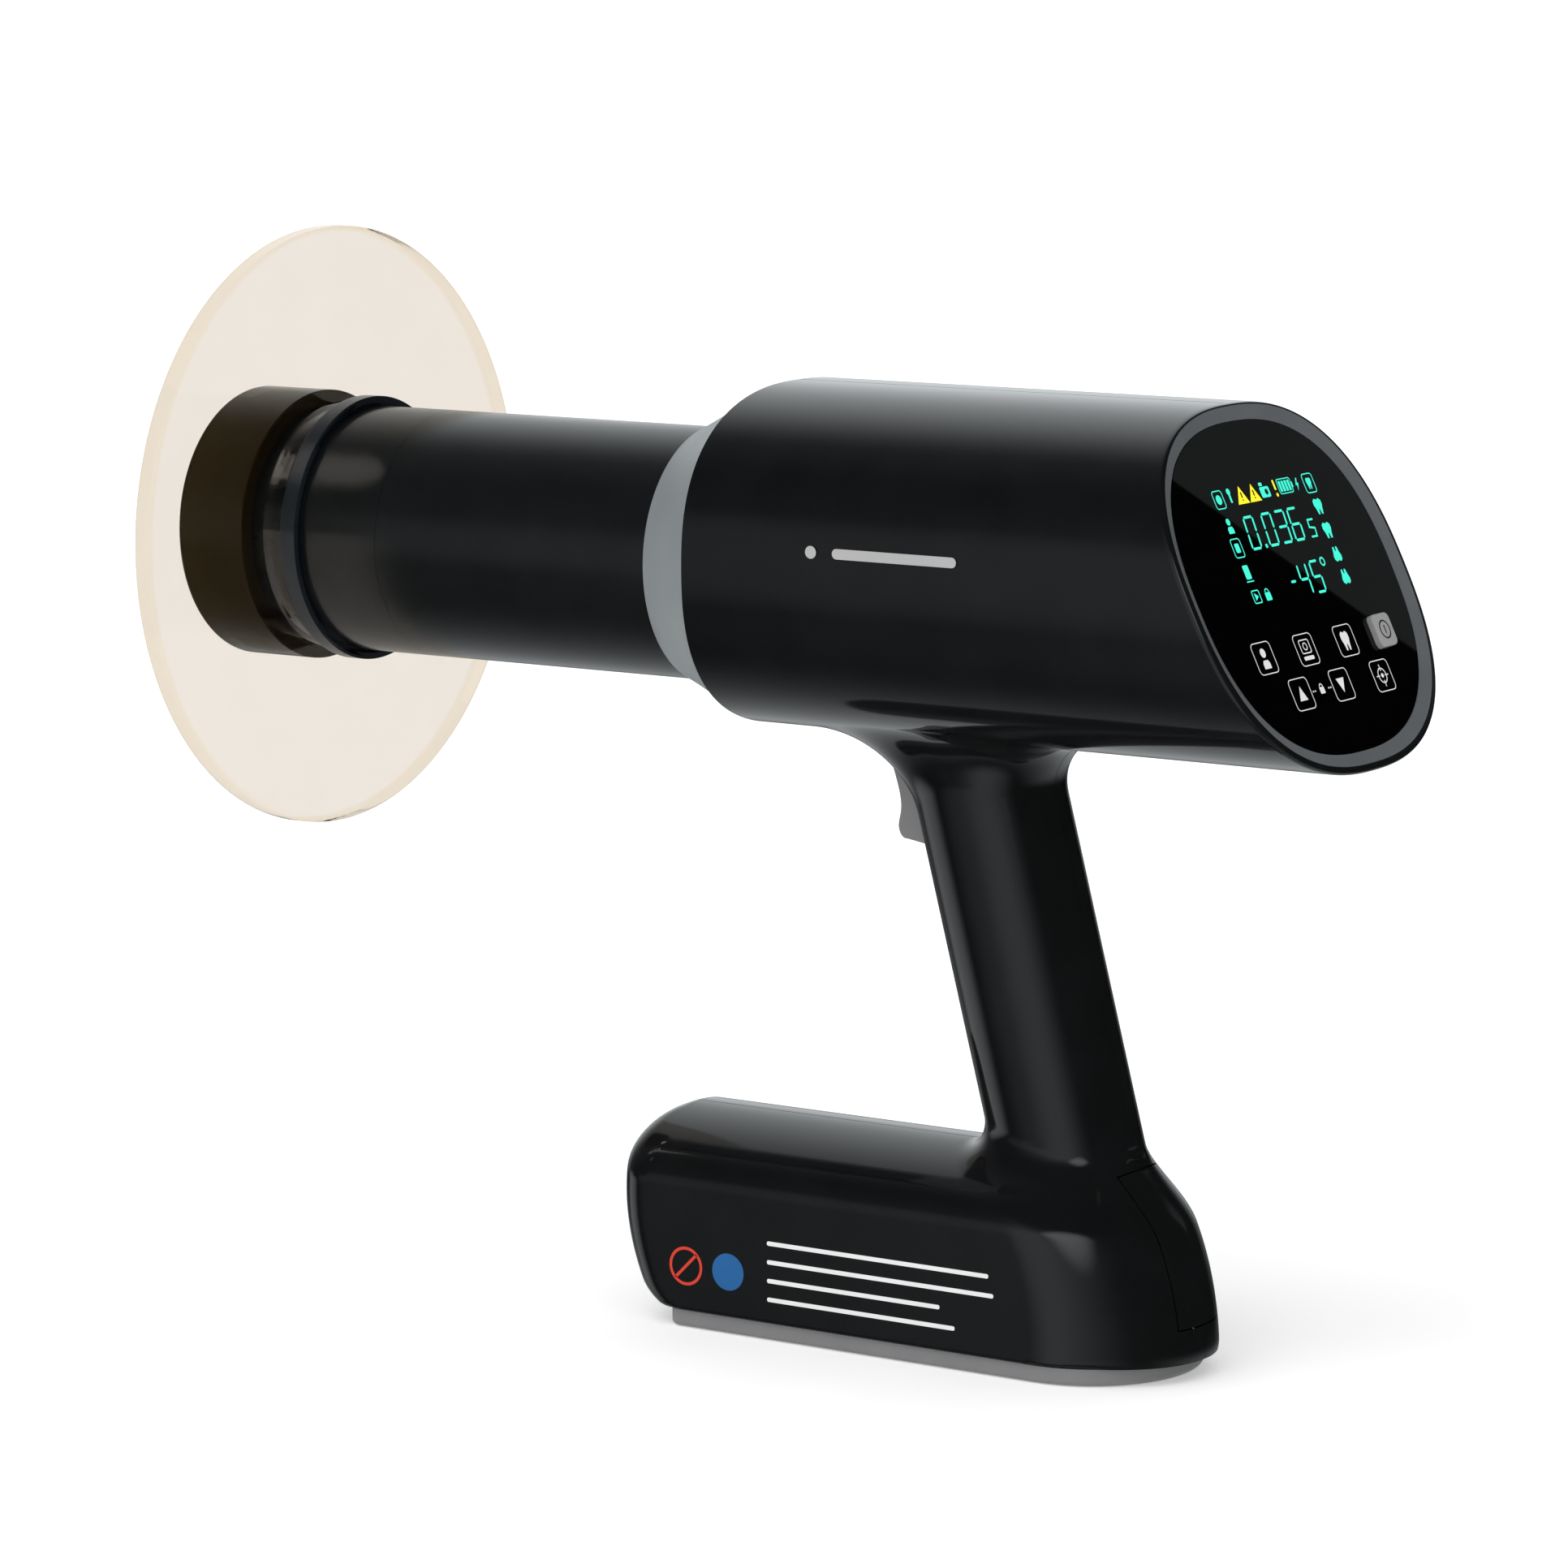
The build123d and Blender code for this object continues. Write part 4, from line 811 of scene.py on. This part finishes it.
class Marks:
    """Flat marks on a plane, each a thin prism; across and up are millimetres on that plane."""

    def __init__(self, origin, across, up):
        self.origin, self.across, self.up = (np.array(v, float) for v in (origin, across, up))
        self.out = np.cross(self.across, self.up)
        self.shapes = []

    def area(self, points):
        self.shapes.append([tuple(p) for p in points])

    def line(self, points, width, closed=False):
        """Line with mitred corners, one prism a run."""
        p = np.array(points, float)
        way = np.diff(np.vstack([p, p[:1]]) if closed else p, axis=0)
        way /= np.linalg.norm(way, axis=1)[:, None]
        side = np.stack([-way[:, 1], way[:, 0]], 1)
        before = np.roll(side, 1, axis=0) if closed else np.vstack([side[:1], side])
        after = side if closed else np.vstack([side, side[-1:]])
        mitre = before + after
        mitre /= (mitre * after).sum(1)[:, None]
        mitre *= width / 2
        count = len(p)
        for i in range(count if closed else count - 1):
            j = (i + 1) % count
            self.area([p[i] + mitre[i], p[i] - mitre[i], p[j] - mitre[j], p[j] + mitre[j]])

    def piece(self, name, lift, height, material, body, slot):
        """Makes one object of all the marks, lift above the plane."""
        verts, faces = [], []
        for shape in self.shapes:
            p = np.array(shape)
            turn = (p[:, 0] * np.roll(p[:, 1], -1) - p[:, 1] * np.roll(p[:, 0], -1)).sum()
            p = p if turn > 0 else p[::-1]
            count, first = len(p), len(verts)
            for level in (lift, lift + height):
                spot = self.origin + np.outer(p[:, 0], self.across) + np.outer(p[:, 1], self.up)
                verts.extend(spot + self.out * level)
            faces.append([first + i for i in range(count)][::-1])
            faces.append([first + count + i for i in range(count)])
            for i in range(count):
                j = (i + 1) % count
                faces.append([first + i, first + j, first + count + j, first + count + i])
        mesh = bpy.data.meshes.new(name)
        mesh.from_pydata((np.array(verts) * MM).tolist(), [], faces)
        dress(add_object(name, mesh), material, body, slot)


def arc(x, y, r, start=0, stop=360, steps=24):
    return [
        (x + r * cos(radians(a)), y + r * sin(radians(a)))
        for a in np.linspace(start, stop, steps, endpoint=stop - start < 360)
    ]


def frame_shape(x, y, w, h, r):
    """Rectangle with rounded corners and its middle at x, y."""
    points = []
    for k, (sx, sy) in enumerate(((1, 1), (-1, 1), (-1, -1), (1, -1))):
        points += arc(x + sx * (w / 2 - r), y + sy * (h / 2 - r), r, 90 * k, 90 * k + 90, 5)
    return points


def moved(points, x, y, size):
    return [(x + a * size, y + b * size) for a, b in points]


TOOTH = [(-0.5, 0.5), (-0.26, 0.68), (0, 0.56), (0.26, 0.68), (0.5, 0.5), (0.54, 0.15), (0.4, -0.2)]
TOOTH += [(0.3, -0.7), (0.14, -0.72), (0.06, -0.28), (-0.06, -0.28), (-0.14, -0.72), (-0.3, -0.7)]
TOOTH += [(-0.4, -0.2), (-0.54, 0.15)]
BUST = [(-0.5, -0.7), (0.5, -0.7), (0.5, -0.25), (0.32, -0.02), (-0.32, -0.02), (-0.5, -0.25)]
BOLT = [(0.1, 0.75), (-0.35, -0.1), (-0.05, -0.1), (-0.15, -0.75), (0.35, 0.15), (0.05, 0.15), (0.3, 0.75)]
SEGMENTS = {"0": "abcdef", "3": "abcdg", "4": "bcfg", "5": "acdfg", "6": "acdefg", "-": "g"}
SLANT = 0.12
LIFT, UPPER_LIFT, INK = 0.01, 0.03, 0.03  # of a mark, of one over another mark, thickness of both


def digit(marks, sign, x, y, w, h, t):
    """Seven-segment sign with its middle at x, y."""
    gap = 0.16
    low, mid, high = -h / 2 + t / 2, 0.0, h / 2 - t / 2
    left, right = -w / 2 + t / 2, w / 2 - t / 2
    runs = {
        "a": ((left, high), (right, high)),
        "g": ((left, mid), (right, mid)),
        "d": ((left, low), (right, low)),
        "f": ((left, mid), (left, high)),
        "b": ((right, mid), (right, high)),
        "e": ((left, low), (left, mid)),
        "c": ((right, low), (right, mid)),
    }
    for key in SEGMENTS[sign]:
        (x0, y0), (x1, y1) = runs[key]
        way = np.array([x1 - x0, y1 - y0]) / hypot(x1 - x0, y1 - y0)
        side = np.array([-way[1], way[0]]) * t / 2
        a, b = np.array([x0, y0]) + way * gap, np.array([x1, y1]) - way * gap
        tip = way * t / 2
        shape = [a, a + tip + side, b - tip + side, b, b - tip - side, a + tip - side]
        marks.area([(x + p[0] + SLANT * p[1], y + p[1]) for p in shape])


def screen_marks():
    """Generic signs and numbers lit on the screen, and the marks of its touch keys and power button."""
    plane = (SCREEN_O, ACROSS, SCREEN_UP)
    teal, yellow, white, dark = Marks(*plane), Marks(*plane), Marks(*plane), Marks(*plane)
    # status row
    teal.line(frame_shape(-20.5, 28.2, 4.6, 4.6, 0.9), 0.28, True)
    teal.area(arc(-20.5, 28.2, 1.25))
    teal.line([(-14.9, 26.9), (-14.9, 29.0)], 0.8)
    teal.area(arc(-14.9, 29.8, 0.85))
    for x in (-9.4, -3.4):
        yellow.area([(x - 2.8, 26.1), (x + 2.8, 26.1), (x, 30.7)])
        dark.area([(x - 0.3, 27.6), (x + 0.3, 27.6), (x + 0.3, 29.1), (x - 0.3, 29.1)])
        dark.area(arc(x, 27.05, 0.28, steps=10))
    teal.area(frame_shape(2.3, 28.0, 4.4, 2.8, 0.5))
    teal.area(frame_shape(1.2, 30.1, 1.6, 0.9, 0.2))
    dark.area(arc(2.9, 28.0, 0.8, steps=14))
    yellow.line([(7.6, 28.0), (7.6, 30.6)], 0.75)
    yellow.area(arc(7.6, 26.7, 0.5, steps=12))
    teal.line(frame_shape(12.6, 28.6, 6.6, 3.8, 0.6), 0.26, True)
    for k in range(4):
        teal.area(frame_shape(10.4 + 1.46 * k, 28.6, 1.0, 2.8, 0.15))
    teal.area(frame_shape(16.3, 28.6, 0.5, 1.5, 0.1))
    teal.area(moved(BOLT, 18.7, 28.4, 2.2))
    teal.line(frame_shape(24.6, 28.1, 5.0, 5.0, 0.9), 0.28, True)
    teal.area(moved(TOOTH, 24.6, 28.1, 2.2))
    # columns at the sides
    teal.area(moved(BUST, -20.4, 21.2, 2.6))
    teal.area(arc(-20.4, 22.4, 0.9))
    teal.line(frame_shape(-20.8, 15.6, 4.4, 4.8, 0.8), 0.28, True)
    teal.area(frame_shape(-20.8, 15.6, 2.0, 2.4, 0.4))
    teal.area(frame_shape(-20.9, 9.3, 2.6, 3.6, 0.4))
    teal.line([(-22.6, 6.9), (-19.2, 6.9)], 0.3)
    teal.line(frame_shape(-20.9, 2.9, 3.4, 3.2, 0.5), 0.3, True)
    teal.area([(-21.6, 1.9), (-20.0, 2.9), (-21.6, 3.9)])
    teal.area(frame_shape(-15.4, 2.4, 2.6, 2.1, 0.3))
    teal.line(arc(-15.4, 3.5, 0.85, 0, 180, 9), 0.3)
    for k, y in enumerate((21.9, 15.5, 9.0, 3.0)):
        size = 3.0 if k < 2 else -2.8
        teal.area([(24.7 - 0.2 * k + 1.25 * a * size, y + b * size) for a, b in TOOTH])
    # numbers
    for sign, x in (("0", -11.2), ("0", -2.4), ("3", 4.2), ("6", 10.6)):
        digit(teal, sign, x, 18.6, 5.0, 8.8, 0.66)
    teal.area(frame_shape(-7.0, 14.7, 1.0, 1.0, 0.2))
    teal.line([(19.3, 19.0), (16.7, 19.0), (16.4, 17.1), (18.9, 16.7), (18.5, 14.6), (15.8, 14.6)], 0.5)
    for sign, x in (("-", -1.2), ("4", 4.6), ("5", 10.9)):
        digit(teal, sign, x, 4.6, 4.6 if sign != "-" else 3.4, 8.6, 0.66)
    teal.line(arc(16.0, 8.0, 1.0, steps=16), 0.45, True)
    # touch keys
    keys = {"person": (-28.4, -12.2), "sensor": (-8.0, -12.5), "tooth": (12.1, -12.6)}
    keys |= {"up": (-18.0, -22.9), "down": (2.0, -23.0), "target": (22.8, -23.3)}
    for x, y in keys.values():
        white.line(frame_shape(x, y, 9.0, 8.0, 1.3), 0.24, True)
    x, y = keys["person"]
    white.area(moved(BUST, x, y - 0.5, 3.2))
    white.area(arc(x, y + 1.3, 1.2))
    x, y = keys["sensor"]
    white.line(frame_shape(x, y + 0.8, 4.6, 3.4, 0.6), 0.3, True)
    white.line(arc(x, y + 0.8, 0.9, steps=14), 0.28, True)
    white.area(frame_shape(x, y - 2.2, 4.8, 1.0, 0.3))
    white.area(moved(TOOTH, *keys["tooth"], 3.6))
    x, y = keys["up"]
    white.area([(x - 1.9, y - 1.7), (x + 1.9, y - 1.7), (x, y + 2.0)])
    x, y = keys["down"]
    white.area([(x - 1.9, y + 1.7), (x + 1.9, y + 1.7), (x, y - 2.0)])
    x, y = keys["target"]
    white.line(arc(x, y, 1.9, steps=20), 0.3, True)
    white.area(arc(x, y, 0.6, steps=12))
    for a, b in ((1, 0), (-1, 0), (0, 1), (0, -1)):
        white.line([(x + 1.2 * a, y + 1.2 * b), (x + 2.9 * a, y + 2.9 * b)], 0.3)
    white.area(frame_shape(-8.0, -23.2, 2.2, 1.7, 0.25))
    white.line(arc(-8.0, -22.3, 0.75, 0, 180, 9), 0.28)
    for x in (-12.4, -11.4, -4.6, -3.6):
        white.area(frame_shape(x, -23.0, 0.5, 0.4, 0.1))
    teal.piece("lit_signs", LIFT, INK, "teal_light", "housing", "lcd")
    yellow.piece("lit_warnings", LIFT, INK, "yellow_light", "housing", "lcd")
    white.piece("key_marks", LIFT, INK, "key_white", "housing", "display_glass")
    dark.piece("sign_details", UPPER_LIFT, INK, "dark_print", "housing", "lcd")
    power = Marks(SCREEN_O + SCREEN_N * 1.5, ACROSS, SCREEN_UP)
    power.line(arc(30.2, -12.4, 2.3, 0, 360, 28), 0.4, True)
    power.line([(30.2, -13.5), (30.2, -11.3)], 0.4)
    power.piece("power_mark", LIFT, INK, "dark_print", "power_button", "button")


def side_marks():
    """Plain badges and bars on the left side of the base, and a dot and bar on the body's."""
    plane = ((0, -BASE_W, 0), (1, 0, 0), (0, 0, 1))
    red, blue, white = Marks(*plane), Marks(*plane), Marks(*plane)
    red.line(arc(-56.4, 16.7, 4.75, 0, 360, 48), 0.8, True)
    red.line([(-53.1, 20.0), (-59.7, 13.4)], 0.8)
    blue.area(arc(-43.2, 16.8, 4.9, 0, 360, 48))
    for row, stop in enumerate((36.0, 37.5, 21.5, 26.0)):
        z = 26.0 - 4.95 * row
        white.area(frame_shape((stop - 31) / 2, z, stop + 31, 1.15, 0.5))
    mark = Marks((0, -BODY_W, 0), (1, 0, 0), (0, 0, 1))
    mark.area(frame_shape(23.5, 209.6, 36.0, 2.6, 1.25))
    mark.area(arc(-0.8, 209.6, 1.6, 0, 360, 28))
    mark.piece("side_mark", 0.0, 0.12, "mark_grey", "housing", "housing_black")
    red.piece("badge_ring", LIFT, INK, "red_print", "housing", "housing_black")
    blue.piece("badge_disc", LIFT, INK, "blue_print", "housing", "housing_black")
    white.piece("side_bars", LIFT, INK, "white_print", "housing", "housing_black")


# ---------------------------------------------------------------- the scene


def make_floor(size=12.0, glow_share=0.3):
    """Pale paper that glows a little, so that the shadow on it stays faint."""
    mesh = bpy.data.meshes.new("floor")
    corners = [(-size, -size, 0), (size, -size, 0), (size, size, 0), (-size, size, 0)]
    mesh.from_pydata(corners, [], [(0, 1, 2, 3)])
    floor = add_object("floor", mesh)
    white = (0.93, 0.93, 0.93)
    mesh.materials.append(finish("floor_paper", white, 0.8, mottle=0.004, relief=0.01, grain=400))
    floor.visible_glossy = False
    paper = mesh.materials[0].node_tree.nodes["Principled BSDF"]
    paper.inputs["Emission Color"].default_value = (1, 1, 1, 1)
    paper.inputs["Emission Strength"].default_value = glow_share
    floor.location.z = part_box("base_plate")[0].z - 0.0002


def dress_frame():
    """Materials for the CAD nodes, by the names of the record's slots."""
    special = {"shield_collar": "collar_brown"}
    for name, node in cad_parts.items():
        for number, old in enumerate(node.data.materials):
            key = special.get(name, old.name.split(".")[0])
            node.data.materials[number] = materials[key]


aim_camera()
studio_light()
materials = make_materials()
make_floor()
dress_frame()
make_housings()
screw_wells()
screen_rim()
screen_marks()
side_marks()
